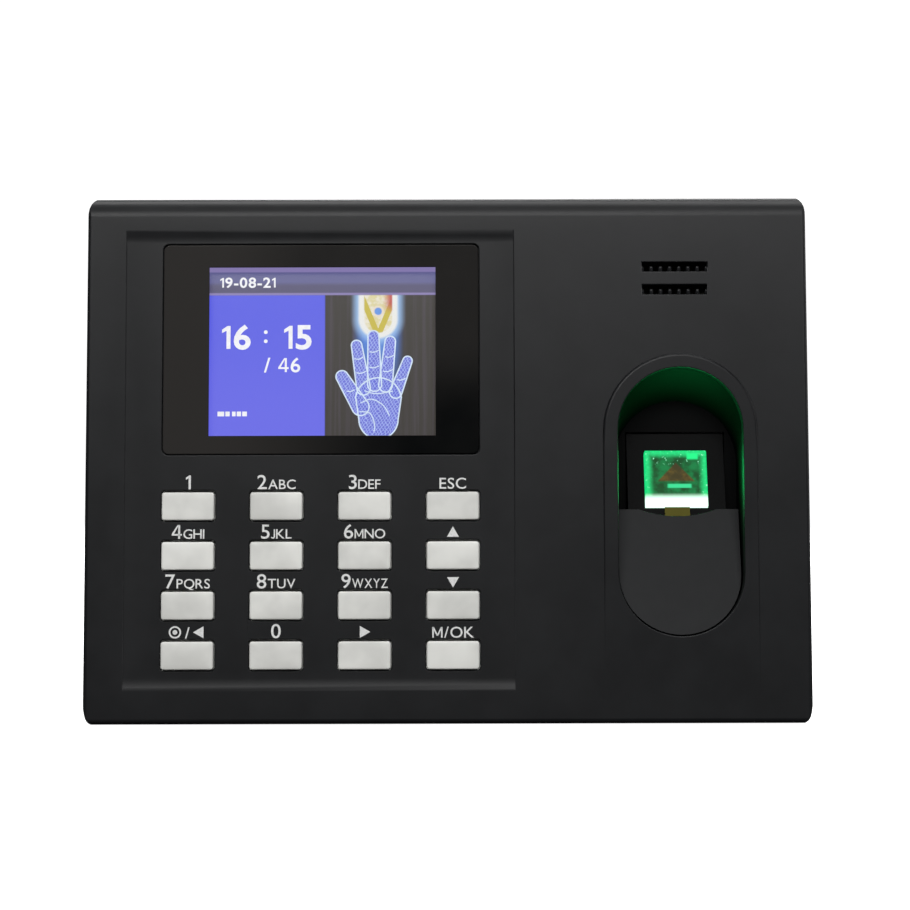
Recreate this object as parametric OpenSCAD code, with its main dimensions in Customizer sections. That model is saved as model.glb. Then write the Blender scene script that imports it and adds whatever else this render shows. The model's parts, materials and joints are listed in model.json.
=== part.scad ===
// Fingerprint time and access terminal: a wedge-shaped case that hangs on a steel wall plate.
// X runs to the right, Z up, and the front faces -Y. The wall is the plane Y = 0, and the
// origin is the centre of the wall plate's rear face. Lengths are in millimetres.

/* [Case] */
// Width of the case
body_w = 183; // [178:1:230]
// Height of the case
body_h = 133.2; // [130:0.1:170]
// Depth of the case at its bottom edge, from the wall
depth_bottom = 37; // [36:0.5:46]
// Depth of the case at its top edge, from the wall
depth_top = 26; // [25.5:0.5:32]
// Thickness of the moulded walls
wall = 2.4; // [2:0.1:3]
// Radius where the front face rolls over to the top
top_round = 5.5; // [3:0.5:7]
// Radius where the front face meets the underside
bottom_round = 1.4; // [0.8:0.1:2.2]
// Radius where the front face meets the sides
side_round = 1.2; // [0.6:0.1:2]
// Half width of the rounded corners of the outline
corner_w = 2.3; // [1.5:0.1:4]
// Height of the rounded corners of the outline
corner_h = 5.5; // [3:0.5:8]
// Distance of the seam between the two covers from the wall
seam_y = 16; // [14:0.5:17]
// Shadow gap at the seam
seam_gap = 0.4; // [0.2:0.1:0.8]
// Gap between the rear rim and the wall
back_gap = 1.2; // [0.8:0.1:1.4]

/* [Front panel] */
// Width of the sunken panel around screen and keys
panel_w = 98.5; // [97:0.5:104]
// Height of the sunken panel
panel_h = 117; // [116:0.5:122]
// Centre of the panel from the middle of the case
panel_x = -32.3; // [-33:0.1:-31.5]
// Depth of the sunken panel
panel_depth = 0.6; // [0.4:0.1:0.8]
// Length of the panel's sloped upper and lower ends
panel_slope = 3.2; // [2:0.1:4]

/* [Screen] */
// Width of the window lens
lens_w = 80; // [78:0.5:84]
// Height of the window lens
lens_h = 53.5; // [52:0.5:54]
// Thickness of the window lens
lens_t = 1; // [0.8:0.1:1.1]
// Corner radius of the window lens
lens_corner = 1.3; // [0.8:0.1:2]
// Centre of the screen from the middle of the case
screen_x = -32; // [-33:0.1:-31]
// Centre of the screen above the middle of the face
screen_v = 27.9; // [27.4:0.1:28.4]
// Width of the display module
lcd_w = 69.2; // [67:0.1:71]
// Height of the display module
lcd_h = 50.4; // [49:0.1:51]
// Thickness of the display module
lcd_t = 3.2; // [2.8:0.1:3.4]
// Width of the display's picture
view_w = 57.6; // [56:0.1:58]
// Height of the display's picture
view_h = 43.2; // [42:0.1:44]

/* [Keypad] */
// Width of a key
key_w = 13.15; // [11:0.05:14]
// Height of a key
key_h = 7.3; // [6:0.1:7.5]
// Corner radius of a key
key_corner = 0.7; // [0.4:0.1:1.2]
// How far a key stands above the panel
key_rise = 1.2; // [1:0.1:1.6]
// Travel of a key
key_travel = 0.8; // [0.5:0.1:1]
// Clearance round a key
key_gap = 0.25; // [0.2:0.05:0.4]
// Distance between key columns
column_pitch = 22.25; // [22:0.05:22.5]
// Distance between key rows
row_pitch = 12.5; // [12.3:0.1:12.8]
// Centre of the keypad from the middle of the case
keypad_x = -32; // [-32.5:0.1:-31.5]
// Centre of the keypad above the middle of the face
keypad_v = -30.7; // [-31.1:0.1:-30.4]

/* [Finger niche] */
// Centre of the niche from the middle of the case
niche_x = 58.9; // [58:0.1:59.5]
// Radius of the niche's round ends, half its width
niche_r = 15.8; // [15.6:0.1:16]
// Centre of the niche's upper arch above the middle of the face
arch_v = 7; // [6.4:0.1:7.4]
// Centre of the niche's lower arc above the middle of the face
foot_v = -29.2; // [-29.6:0.1:-28.6]
// Depth of the niche at its back
niche_depth = 14; // [13.8:0.1:14.5]
// Drop of the niche's roof from its mouth to its back
roof_drop = 7; // [5:0.5:7]
// Width of the raised rim round the niche
rim_w = 3.7; // [3:0.1:4]
// Height of the rim above the face at its arch
rim_rise = 1.3; // [0.8:0.1:1.6]
// Point where the rim has faded into the face
rim_end_v = -60.6; // [-61.6:0.5:-58.6]
// Depth of the finger rest at its upper edge
rest_depth = 8; // [7.5:0.1:8.2]
// Upper edge of the finger rest above the middle of the face
rest_top_v = -12.6; // [-13.1:0.1:-12.1]
// Thickness of the finger rest
rest_t = 1.6; // [1.4:0.1:1.8]
// Radius of the scoop in the finger rest's upper edge
scoop_r = 26.7; // [22:0.1:30]
// Depth of that scoop
scoop_depth = 1.9; // [1:0.1:2.5]

/* [Sensor] */
// Width of the prism
prism_w = 16; // [15:0.1:16.5]
// Length of the prism's touched face
prism_l = 15.2; // [14.5:0.1:15.5]
// Thickness of the prism
prism_t = 6.5; // [6:0.1:6.8]
// Depth of the prism's face under the finger rest's plane
prism_sink = 1; // [0.8:0.1:1.4]
// Depth of the sensor's body behind the face
sensor_depth = 22; // [21.8:0.1:22.2]
// Half width of the sensor's body
sensor_half_w = 12.5; // [12.2:0.1:12.6]
// Room between the sensor's lower corners and the niche's lower arc
sensor_skirt = 1.46; // [1.4:0.02:1.6]

/* [Speaker] */
// Centre of the speaker from the middle of the case
speaker_x = 57.9; // [56:0.1:59]
// Centre of the speaker above the middle of the face
speaker_v = 45.8; // [45.4:0.1:46]
// Outer radius of the speaker
speaker_r = 14; // [12:0.5:14]
// Width of a sound slot
slot_w = 16.4; // [14:0.1:18]
// Height of a sound slot
slot_h = 2.4; // [2:0.1:2.8]
// Distance between the two sound slots
slot_pitch = 5.85; // [5:0.05:6.5]
// Notches along a sound slot
slot_notches = 7; // [5:1:9]

/* [Wall plate] */
// Width of the wall plate
plate_w = 108; // [104:1:110]
// Height of the wall plate
plate_h = 112; // [110:1:113]
// Thickness of the wall plate
plate_t = 1.5; // [1.2:0.1:1.6]
// Room for screw heads between plate and case
head_room = 3; // [2.8:0.1:3.2]
// Distance between the wall screws across
screw_pitch_x = 90; // [84:1:94]
// Distance between the wall screws up the wall
screw_pitch_z = 84; // [80:1:90]
// Radius of a wall screw's hole
wall_hole_r = 2.2; // [2:0.1:2.6]
// Lift that frees the case from the hooks
lift = 6; // [5.8:0.1:6]
// Distance of a hook from the middle
hook_x = 36; // [30:1:38]
// Width of a hook
hook_w = 10; // [8:1:12]

/* [Main board] */
// Left edge of the main board
board_left = -60; // [-62:1:-58]
// Right edge of the main board
board_right = 34; // [33:1:36]
// Upper edge of the main board
board_top = 45; // [42:1:45]
// Thickness of every circuit board
board_t = 1.6; // [1.4:0.1:1.6]

/* [Hidden] */
$fn = 48;
KEY_NAMES = [
    "key_1", "key_2", "key_3", "key_esc",
    "key_4", "key_5", "key_6", "key_up",
    "key_7", "key_8", "key_9", "key_down",
    "key_left_power", "key_0", "key_right", "key_menu_ok"
];

// Colours
case_black = "#2b2d31";
niche_black = "#1b1d1f";
rest_grey = "#33363a";
key_grey = "#cfcfc9";
board_green = "#2a5a3c";
steel = "#b9bcc0";
dark_steel = "#8d9196";
part_black = "#222326";
gold = "#c8a64b";

// Face frame: its origin is the middle of the front face, its third axis points out of the face
tilt = atan((depth_bottom - depth_top) / body_h);
face_y = -(depth_bottom + depth_top) / 2;

// Lengths that only have to pass through or past something
reach = 60;
far = 400;
cut = 0.5;

// Gaps, from the least to the most
hair = 0.05;
slim = 0.1;
snug = 0.15;
passing = 0.2;
loose = 0.3;

least_round = 0.4;
arc_steps = 6;
arch_steps = 24;

// Fasteners: the case's own screws, and the small ones on the boards and ears
case_boss_r = 4;
case_screw_r = 1.45;
case_head_r = 2.7;
case_head_h = 2;
case_head_sink = 3.2;
case_bite = 6;
case_inset = [8.5, 9];
case_mid_z = -12;
small_r = 1;
small_head_r = 1.9;
small_head_h = 1.2;
small_boss_r = 2.5;
small_bite = 0.4;

// Levels behind the face, measured along its outward normal
panel_w0 = -panel_depth;
lens_front = panel_w0 - hair;
lens_back = lens_front - lens_t;
tape_t = 0.15;
pocket_floor = lens_back - tape_t;
pad_t = 1;
pad_back = -wall - pad_t;
lcd_back = pad_back - lcd_t;
lcd_skin = 0.4;
lcd_glass_t = 1.2;
bracket_t = 0.8;
bracket_back = lcd_back - bracket_t;
key_flange_t = 0.8;
key_flange = 0.8;
flange_front = -wall - slim;
flange_back = flange_front - key_flange_t;
dome_h = key_travel + 1;
mat_t = 1;
mat_front = flange_back - hair - dome_h;
mat_back = mat_front - mat_t;
key_pcb_back = mat_back - board_t;

// Levels from the wall, along Y
rim_y = -back_gap;
back_in = rim_y - wall;
tub_floor = -plate_t - head_room;
tub_wall = 1.6;
tub_floor_t = 2.2;
tub_in = tub_floor - tub_floor_t;
board_standoff = 1.6;
board_rear = tub_in - board_standoff;
board_front = board_rear - board_t;
bay_depth = -19.6;

// Tub in the rear cover that takes the wall plate, with room for the lift
tub_gap = 1.5;
landing = 0.5;
tub_x = plate_w / 2 + tub_gap;
tub_top = plate_h / 2 + tub_gap;
tub_low = -plate_h / 2 - lift - landing;

// Tips of the screws that hold the main board and the socket board to the rear cover
board_tip = tub_floor - 1;
usb_tip = back_in + 0.7;

// Cable bay below the main board
bay_left = -52;
bay_right = 30;
bay_top = -20;
bay_low = -50;
board_low = bay_top + tub_wall + loose;

// Ports in the bay's upper wall, each with its width, height above the board and length
port_out = 0.2;
port_cut = 1;
rj45_x = -1;
rj45_size = [16.2, 13.2, 21];
dc_x = 19;
dc_size = [9, 10.8, 14];
block_x = -37.5;
block_ways = 7;
block_pitch = 3.5;
block_ends = 1;
block_size = [block_ways * block_pitch + block_ends, 8.5, 8];

// Lock pocket under the tub, and the reset switch beside the bay
pocket_half_w = 7;
pocket_y = -12;
pocket_top = -50;
lock_y = -6.5;
lock_sink = 2.4;
reset_x = -16;
reset_travel = 0.3;
reset_size = [6, 4.2, 5];
reset_r = 0.9;
reset_y = board_front - reset_size[1] / 2;
reset_stem = 2;
reset_well = reset_stem + reset_travel + loose;

// Data socket at the underside, on a board of its own
usb_x = -69;
usb_y = [-12.4, -6.7];
usb_w = 13.2;
usb_l = 14;
usb_sink = 0.4;
usb_board_gap = 0.7;
usb_board_l = 22;
usb_board_half_w = 8.5;
usb_screw = [6, 3];
usb_z = [usb_sink - body_h / 2, usb_sink + usb_l - body_h / 2];
usb_board_y = usb_y[1] + board_t;
usb_board_z = [wall + usb_board_gap - body_h / 2, usb_board_l - body_h / 2];
usb_spots = [for (side = [-1, 1]) [usb_x + side * usb_screw[0], usb_board_z[1] - usb_screw[1]]];

// Backup cell and its holder on the main board
cell_x = -4;
cell_z = 32;
cell_r = 10;
cell_t = 3.2;
holder_base = 1.2;
holder_h = 2.4;
holder_rim = 1.2;

// Hooks, and the tamper plunger that rides on a ramp of the wall plate
hook_top = plate_h / 2;
hook_lip = 5;
hook_y = tub_in - loose;
tamper_x = 26;
tamper_z = 30;
plunger_r = 1.5;
plunger_nose_r = 0.6;
plunger_ratio = 0.25;
ramp_h = 2;
ramp_lead = 1;
ramp_flat = 3;
ramp_half_w = 4;
ramp_start = tamper_z - ramp_lead;
plunger_tip = -plate_t - ramp_h + plunger_ratio * (ramp_lead - plunger_nose_r) - passing;

// Finger rest slope and its frame: y runs up the rest, z out of it, from its lower tip
foot_tip_v = foot_v - niche_r;
rest_run = rest_top_v - foot_tip_v;
rest_tilt = atan(rest_depth / rest_run);
rest_l = rest_run / cos(rest_tilt);
prism_gap = 1;
prism_low = rest_l + prism_gap;
sensor_wall = 1.5;
sensor_top_gap = 0.4;
sensor_ear = [2.7, 2.6, 5];
liner_wall = 1.5;
liner_ear_x = 5.2;
liner_ear_w = -wall - 2;
post_h = 3.5;
post_r = 2.2;
ear_t = 1.6;
sensor_v = [
    foot_v - sqrt(max(pow(niche_r, 2) - pow(sensor_half_w + sensor_skirt, 2), 0)),
    arch_v + sensor_top_gap
];
liner_floor = niche_depth + liner_wall;
post_end = liner_floor + post_h;

// Places, heads and tips of the case screws
case_x = body_w / 2 - case_inset[0];
case_z = body_h / 2 - case_inset[1];
case_spots = [
    for (side = [-1, 1])
        for (z = [case_z, case_mid_z, -case_z]) [side * case_x, z]
];
case_head_y = rim_y - case_head_sink;
case_screw_tip = -seam_y - case_bite;

// Points along an elliptical arc
function arc_points(x, y, rx, ry, first, last, steps) = [
    for (i = [0 : steps])
        let (a = first + (last - first) * i / steps)
            [x + rx * cos(a), y + ry * sin(a)]
];

// Outline of a rectangle with elliptical corners
function rounded_points(w, h, rx, ry) = concat(
    arc_points(w / 2 - rx, h / 2 - ry, rx, ry, 0, 90, arc_steps),
    arc_points(rx - w / 2, h / 2 - ry, rx, ry, 90, 180, arc_steps),
    arc_points(rx - w / 2, ry - h / 2, rx, ry, 180, 270, arc_steps),
    arc_points(w / 2 - rx, ry - h / 2, rx, ry, 270, 360, arc_steps)
);

module rounded(w, h, r) {
    polygon(rounded_points(w, h, r, r));
}

// Slot outline with a round top and bottom
module slot_outline(r, low, high) {
    polygon(concat(
        arc_points(0, high, r, r, 0, 180, arch_steps),
        arc_points(0, low, r, r, 180, 360, arch_steps)
    ));
}

// Arch outline with a round top and a straight bottom
module arch_outline(r, low, high) {
    polygon(concat(arc_points(0, high, r, r, 0, 180, arch_steps), [[-r, low], [r, low]]));
}

// Box between two limits on each axis
module span(x, y, z) {
    translate([x[0], y[0], z[0]])
        cube([x[1] - x[0], y[1] - y[0], z[1] - z[0]]);
}

// Limits centred on a value
function about(centre, half) = [centre - half, centre + half];

// Round bar along Y between two limits
module bar_y(x, z, y, r) {
    translate([x, y[1], z])
        rotate([90, 0, 0])
            cylinder(h = y[1] - y[0], r = r);
}

// Round bar along Z between two limits
module bar_z(x, y, z, r) {
    translate([x, y, z[0]])
        cylinder(h = z[1] - z[0], r = r);
}

// Straight round wire between two points
module wire(from, to, r) {
    d = to - from;
    translate(from)
        rotate([0, acos(d[2] / norm(d)), atan2(d[1], d[0])])
            cylinder(h = norm(d), r = r, $fn = 16);
}

// Children in the face frame
module on_face() {
    translate([0, face_y, 0])
        rotate([90 - tilt, 0, 0])
            children();
}

// Distance from the wall, and height up it, of a point of the face frame
function from_wall(v, w) = -face_y - v * sin(tilt) + w * cos(tilt);
function height(v, w) = v * cos(tilt) + w * sin(tilt);

// Children in the finger rest's frame
module on_rest() {
    on_face()
        translate([niche_x, foot_tip_v, 0])
            rotate([-rest_tilt, 0, 0])
                children();
}

// Flat outline laid in the face frame between two levels
module face_plate(x, v, levels) {
    on_face()
        translate([x, v, levels[0]])
            linear_extrude(levels[1] - levels[0])
                children();
}

// Round bar square to the face between two levels
module face_bar(x, v, levels, r) {
    on_face()
        translate([x, v, levels[0]])
            cylinder(h = levels[1] - levels[0], r = r);
}

// Side view of the wedge, drawn in by an inset: first value is the distance from the wall
function side_points(inset) =
    let (
        h = body_h / 2 - inset,
        rt = max(top_round - inset, least_round),
        rb = max(bottom_round - inset, least_round),
        front = -face_y - inset / cos(tilt)
    )
    concat(
        [[0, -h]],
        arc_points(front - rb / cos(tilt) + (h - rb) * tan(tilt), rb - h, rb, rb, -90, tilt, arc_steps),
        arc_points(front - rt / cos(tilt) - (h - rt) * tan(tilt), h - rt, rt, rt, tilt, 90, arc_steps),
        [[0, h]]
    );

// View along the face of the wedge, drawn in by an inset
function end_points(inset) =
    let (half = body_w / 2 - inset, r = max(side_round - inset, least_round))
    concat(
        [[-half, -reach], [half, -reach]],
        arc_points(half - r, -inset - r, r, r, 0, 90, arc_steps),
        arc_points(r - half, -inset - r, r, r, 90, 180, arc_steps)
    );

// The whole wedge, drawn in by an inset on every side but the wall's
module wedge(inset) {
    rx = max(corner_w - inset, least_round);
    ry = max(corner_h - inset, least_round);
    intersection() {
        rotate([90, 0, 0])
            linear_extrude(reach)
                polygon(rounded_points(body_w - 2 * inset, body_h - 2 * inset, rx, ry));
        rotate([90, 0, -90])
            linear_extrude(far, center = true)
                polygon(side_points(inset));
        on_face()
            rotate([90, 0, 0])
                linear_extrude(far, center = true)
                    polygon(end_points(inset));
    }
}

// Everything between two distances along Y
module slab_y(y) {
    span([-far, far], y, [-far, far]);
}

// Raised rim of the finger niche: an arch that fades into the face at its lower end
module niche_rim() {
    rise_tilt = atan(rim_rise / (arch_v + niche_r + rim_w - rim_end_v));
    intersection() {
        face_plate(niche_x, 0, [-wall, reach])
            arch_outline(niche_r + rim_w, rim_end_v, arch_v);
        on_face()
            translate([0, rim_end_v, 0])
                rotate([rise_tilt, 0, 0])
                    span([-far, far], [-far, far], [-reach, 0]);
    }
}

// Sunken panel round screen and keys: flat floor with a slope at its upper and lower end
module panel_cut() {
    half = panel_h / 2;
    on_face()
        translate([panel_x - panel_w / 2, 0, 0])
            rotate([90, 0, 90])
                linear_extrude(panel_w)
                    polygon([
                        [-half, 0], [panel_slope - half, panel_w0], [half - panel_slope, panel_w0],
                        [half, 0], [half, cut], [-half, cut]
                    ]);
}

// Centre of a key in the face frame
function key_spot(column, row) = [
    keypad_x + (column - 1.5) * column_pitch,
    keypad_v - (row - 1.5) * row_pitch
];

// Places for the keypad board's screws, between the keys
KEY_BOSSES = [for (c = [0, 1, 2]) for (r = [0, 2]) key_spot(c + 0.5, r + 0.5)];

// Places for the display bracket's screws
bracket_side = 3.4;
bracket_in = 6;
BRACKET_SPOTS = [
    for (sx = [-1, 1])
        for (sv = [-1, 1])
            [screen_x + sx * (lcd_w / 2 + bracket_side), screen_v + sv * (lcd_h / 2 - bracket_in)]
];

// Places for the niche liner's ears
LINER_EARS = [
    for (sx = [-1, 1])
        for (v = [arch_v - 5.6, foot_v + 2.6]) [niche_x + sx * (niche_r + liner_ear_x), v]
];

// Places for the sensor's ears
SENSOR_EARS = [
    for (sx = [-1, 1])
        for (v = [sensor_v[1] - 6, sensor_v[0] + 6]) [niche_x + sx * (sensor_half_w + sensor_ear[0]), v]
];

// Places for the main board's screws, across and up the wall
board_corner = 4;
BOARD_SPOTS = [
    for (x = [board_left + board_corner, board_right - board_corner])
        for (z = [board_top - board_corner, board_low + board_corner]) [x, z]
];

// Sound slots: a slit along the top of each, with notches below it that leave short ribs
module sound_slots() {
    rib_depth = 0.5;
    slit_h = 1;
    notch_share = 0.6;
    notch_pitch = slot_w / slot_notches;
    notch_w = notch_pitch * notch_share;
    inside = -wall - 2;
    for (side = [-1, 1])
        translate([speaker_x, speaker_v + side * slot_pitch / 2, 0]) {
            span(about(0, slot_w / 2), about(0, slot_h / 2), [-rib_depth, reach]);
            span(about(0, slot_w / 2), [slot_h / 2 - slit_h, slot_h / 2], [inside, reach]);
            for (i = [0 : slot_notches - 1])
                translate([(i + 0.5) * notch_pitch - slot_w / 2, 0, 0])
                    span(about(0, notch_w / 2), [-slot_h / 2, slot_h / 2], [inside, reach]);
        }
}

module front_cover() {
    collar_h = 3;
    collar_t = 1.6;
    pad_rim = [4, 3.4];
    window_rim = 3.2;
    color(case_black)
    difference() {
        union() {
            difference() {
                union() {
                    wedge(0);
                    niche_rim();
                }
                slab_y([-seam_y - seam_gap / 2, far]);
                wedge(wall);
            }
            intersection() {
                wedge(wall / 2);
                slab_y([-far, -seam_y - seam_gap / 2]);
                union() {
                    face_plate(screen_x, screen_v, [pad_back, -wall / 2])
                        square([lens_w + pad_rim[0], lens_h + pad_rim[1]], center = true);
                    for (p = case_spots)
                        bar_y(p[0], p[1], [-reach, 0], case_boss_r);
                    for (p = KEY_BOSSES)
                        face_bar(p[0], p[1], [mat_back, -wall / 2], small_boss_r);
                    for (p = BRACKET_SPOTS)
                        face_bar(p[0], p[1], [lcd_back, -wall / 2], small_boss_r);
                    for (p = LINER_EARS)
                        face_bar(p[0], p[1], [liner_ear_w, -wall / 2], small_boss_r);
                    face_bar(speaker_x, speaker_v, [-wall - collar_h, -wall / 2], speaker_r + collar_t);
                }
            }
        }
        panel_cut();
        face_plate(screen_x, screen_v, [pocket_floor, reach])
            rounded(lens_w + 2 * snug, lens_h + 2 * snug, lens_corner + snug);
        face_plate(screen_x, screen_v, [-reach, reach])
            square([view_w + window_rim, view_h + window_rim], center = true);
        for (c = [0 : 3])
            for (r = [0 : 3])
                face_plate(key_spot(c, r)[0], key_spot(c, r)[1], [-reach, reach])
                    rounded(key_w + 2 * key_gap, key_h + 2 * key_gap, key_corner + key_gap);
        on_face()
            sound_slots();
        face_bar(speaker_x, speaker_v, [-reach, -wall], speaker_r + snug);
        face_plate(niche_x, 0, [-reach, reach])
            slot_outline(niche_r, foot_v, arch_v);
        for (p = case_spots)
            bar_y(p[0], p[1], [case_screw_tip - 1, 0], case_screw_r + hair);
        for (p = KEY_BOSSES)
            face_bar(p[0], p[1], [-reach, -wall], small_r + hair);
        for (p = BRACKET_SPOTS)
            face_bar(p[0], p[1], [-reach, pad_back + small_bite], small_r + hair);
        for (p = LINER_EARS)
            face_bar(p[0], p[1], [-reach, -wall + cut], small_r + hair);
    }
}

// Tub that takes the wall plate, with its cable bay and lock pocket, grown by a wall
module tub_shape(grow, floor_grow) {
    span(about(0, tub_x + grow), [tub_floor - floor_grow, reach], [tub_low - grow, tub_top + grow]);
    span([bay_left - grow, bay_right + grow], [bay_depth - grow, reach], [bay_low - grow, bay_top + grow]);
    span(about(0, pocket_half_w + grow), [pocket_y - grow, reach], [tub_low - grow, pocket_top + grow]);
}

// Holes in the bay's upper wall for the ports and the reset stem
module port_holes() {
    through = [bay_top - cut, bay_top + tub_wall + cut];
    for (port = [[rj45_x, rj45_size], [dc_x, dc_size], [block_x, block_size]])
        span(about(port[0], port[1][0] / 2 + loose),
            [board_front - port[1][1] - loose, board_front + loose],
            through);
    bar_z(reset_x, reset_y, through, reset_r + loose);
}

module rear_cover() {
    lip_h = 1.6;
    lip_t = 1.2;
    vent_w = 1.6;
    vent_l = 22;
    vents = 7;
    vent_x = 73;
    vent_z = 20;
    notch_x = [-32, -20];
    hook_play = [0.7, 0.05];
    passing_r = case_screw_r + 0.25;
    rear_y = [-seam_y + seam_gap / 2, rim_y];
    color(case_black)
    difference() {
        union() {
            difference() {
                intersection() {
                    wedge(0);
                    slab_y(rear_y);
                }
                intersection() {
                    wedge(wall);
                    slab_y([-far, back_in]);
                }
            }
            intersection() {
                wedge(wall / 2);
                slab_y(rear_y);
                union() {
                    tub_shape(tub_wall, tub_floor_t);
                    for (p = case_spots)
                        bar_y(p[0], p[1], [-reach, back_in + cut], case_boss_r);
                }
            }
            difference() {
                union() {
                    intersection() {
                        wedge(wall - snug);
                        slab_y([-seam_y + seam_gap / 2, -seam_y + lip_h]);
                    }
                    intersection() {
                        wedge(wall + snug);
                        slab_y([-seam_y - lip_h, -seam_y + lip_h]);
                    }
                }
                wedge(wall + snug + lip_t);
            }
            for (p = BOARD_SPOTS)
                bar_y(p[0], p[1], [board_rear, tub_floor - cut], small_boss_r);
            for (p = usb_spots)
                bar_y(p[0], p[1], [usb_board_y, back_in + cut], small_boss_r);
        }
        tub_shape(0, 0);
        port_holes();
        for (side = [-1, 1])
            span(about(side * hook_x, hook_w / 2 + cut),
                [tub_in - cut, 0],
                [hook_top - plate_t - lift - hook_play[0], hook_top + hook_play[1]]);
        bar_y(tamper_x, tamper_z, [tub_in - cut, 0], plunger_r + loose);
        for (p = case_spots) {
            bar_y(p[0], p[1], [-reach, 0], passing_r);
            bar_y(p[0], p[1], [case_head_y, 0], case_head_r + loose);
        }
        for (p = BOARD_SPOTS)
            bar_y(p[0], p[1], [-reach, board_tip + passing], small_r + hair);
        for (p = usb_spots)
            bar_y(p[0], p[1], [-reach, usb_tip + loose], small_r + hair);
        bar_z(0, lock_y, [-body_h, lock_sink - body_h / 2], case_head_r + loose);
        bar_z(0, lock_y, [-body_h, tub_low + cut], passing_r);
        span(notch_x, [tub_floor, 0], [-body_h, tub_low + cut]);
        span(about(usb_x, usb_w / 2 + loose),
            [usb_y[0] - loose, usb_y[1] + loose],
            [-body_h, usb_z[0] + 2 * wall]);
        for (side = [-1, 1])
            for (i = [0 : vents - 1])
                span(about(side * vent_x + (i - (vents - 1) / 2) * 2 * vent_w, vent_w / 2),
                    [back_in - cut, 0], about(vent_z, vent_l / 2));
    }
}

module wall_plate() {
    window = [67, 32];
    window_at = [-6.5, -30];
    window_corner = 3;
    tab_half_w = 6;
    tab_y = -10.5;
    tab_gap = 0.35;
    color(steel)
    difference() {
        union() {
            span(about(0, plate_w / 2), [-plate_t, 0], about(0, plate_h / 2));
            for (side = [-1, 1]) {
                span(about(side * hook_x, hook_w / 2),
                    [hook_y - plate_t, 0],
                    [hook_top - plate_t, hook_top]);
                span(about(side * hook_x, hook_w / 2), [hook_y - plate_t, hook_y],
                    [hook_top - plate_t, hook_top + hook_lip]);
            }
            span(about(0, tab_half_w), [tab_y, 0], [-plate_h / 2, plate_t - plate_h / 2]);
            translate([tamper_x - ramp_half_w, 0, 0])
                rotate([90, 0, 90])
                    linear_extrude(2 * ramp_half_w)
                        polygon([
                            [-plate_t / 2, ramp_start - ramp_flat],
                            [-plate_t - ramp_h, ramp_start - ramp_flat],
                            [-plate_t - ramp_h, ramp_start],
                            [-plate_t, ramp_start + ramp_h / plunger_ratio],
                            [-plate_t / 2, ramp_start + ramp_h / plunger_ratio]
                        ]);
        }
        for (sx = [-1, 1])
            for (sz = [-1, 1])
                bar_y(sx * screw_pitch_x / 2, sz * screw_pitch_z / 2, [-plate_t - cut, cut], wall_hole_r);
        translate([window_at[0], cut, window_at[1]])
            rotate([90, 0, 0])
                linear_extrude(plate_t + 2 * cut)
                    rounded(window[0], window[1], window_corner);
        bar_z(0, lock_y, [-plate_h, 2 * plate_t - plate_h / 2], case_screw_r + tab_gap);
    }
}

module screen_lens() {
    color("#15110f")
        face_plate(screen_x, screen_v, [lens_back, lens_front])
            rounded(lens_w, lens_h, lens_corner);
}

module lens_tape() {
    outer_in = 1;
    inner_out = 5;
    color(part_black)
        face_plate(screen_x, screen_v, [pocket_floor, lens_back])
            difference() {
                rounded(lens_w - outer_in, lens_h - outer_in, lens_corner);
                square([view_w + inner_out, view_h + inner_out], center = true);
            }
}

module lcd_bezel() {
    view_rim = 2;
    color(steel)
    difference() {
        face_plate(screen_x, screen_v, [lcd_back, pad_back])
            square([lcd_w, lcd_h], center = true);
        face_plate(screen_x, screen_v, [-reach, 0])
            square([view_w + view_rim, view_h + view_rim], center = true);
        face_plate(screen_x, screen_v, [-reach, pad_back - lcd_skin])
            square([lcd_w - 2 * lcd_skin, lcd_h - 2 * lcd_skin], center = true);
    }
}

// Flat layer inside the display's frame
module lcd_layer(levels) {
    less = 2 * lcd_skin + slim;
    face_plate(screen_x, screen_v, levels)
        square([lcd_w - less, lcd_h - less], center = true);
}

module lcd_glass() {
    color("#5560c0")
        lcd_layer([pad_back - lcd_skin - lcd_glass_t, pad_back - lcd_skin]);
}

module lcd_backlight() {
    color("#e9e9e4")
        lcd_layer([lcd_back, pad_back - lcd_skin - lcd_glass_t]);
}

module lcd_bracket() {
    outer = [lcd_w + 12, lcd_h - 2];
    inner = [view_w - 2, view_h - 9];
    color(dark_steel)
    difference() {
        face_plate(screen_x, screen_v, [bracket_back, lcd_back])
            difference() {
                square(outer, center = true);
                square(inner, center = true);
            }
        for (p = BRACKET_SPOTS)
            face_bar(p[0], p[1], [-reach, 0], small_r + passing);
    }
}

// Film lead from the display's lower edge round to its connector on the main board
module lcd_flex() {
    film_w = 17;
    film_t = 0.3;
    bend = 2.2;
    edge_v = screen_v - lcd_h / 2;
    edge_w = lcd_back + lcd_t / 2;
    out = from_wall(edge_v, edge_w);
    top = height(edge_v, edge_w) - loose;
    drop = top - bend;
    plug = [-board_front + PLUGS[0][4] + slim, PLUGS[0][1] + 1];
    color(gold)
        translate([screen_x, 0, 0])
            rotate([90, 0, -90])
                linear_extrude(film_w, center = true)
                    polygon([
                        [out, top], [out, drop], [plug[0], drop], plug,
                        [plug[0] + film_t, plug[1]], [plug[0] + film_t, drop + film_t],
                        [out - film_t, drop + film_t], [out - film_t, top]
                    ]);
}

module keypad_outline() {
    corner = 2;
    rounded(4 * column_pitch - 3, 4 * row_pitch + 1, corner);
}

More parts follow.
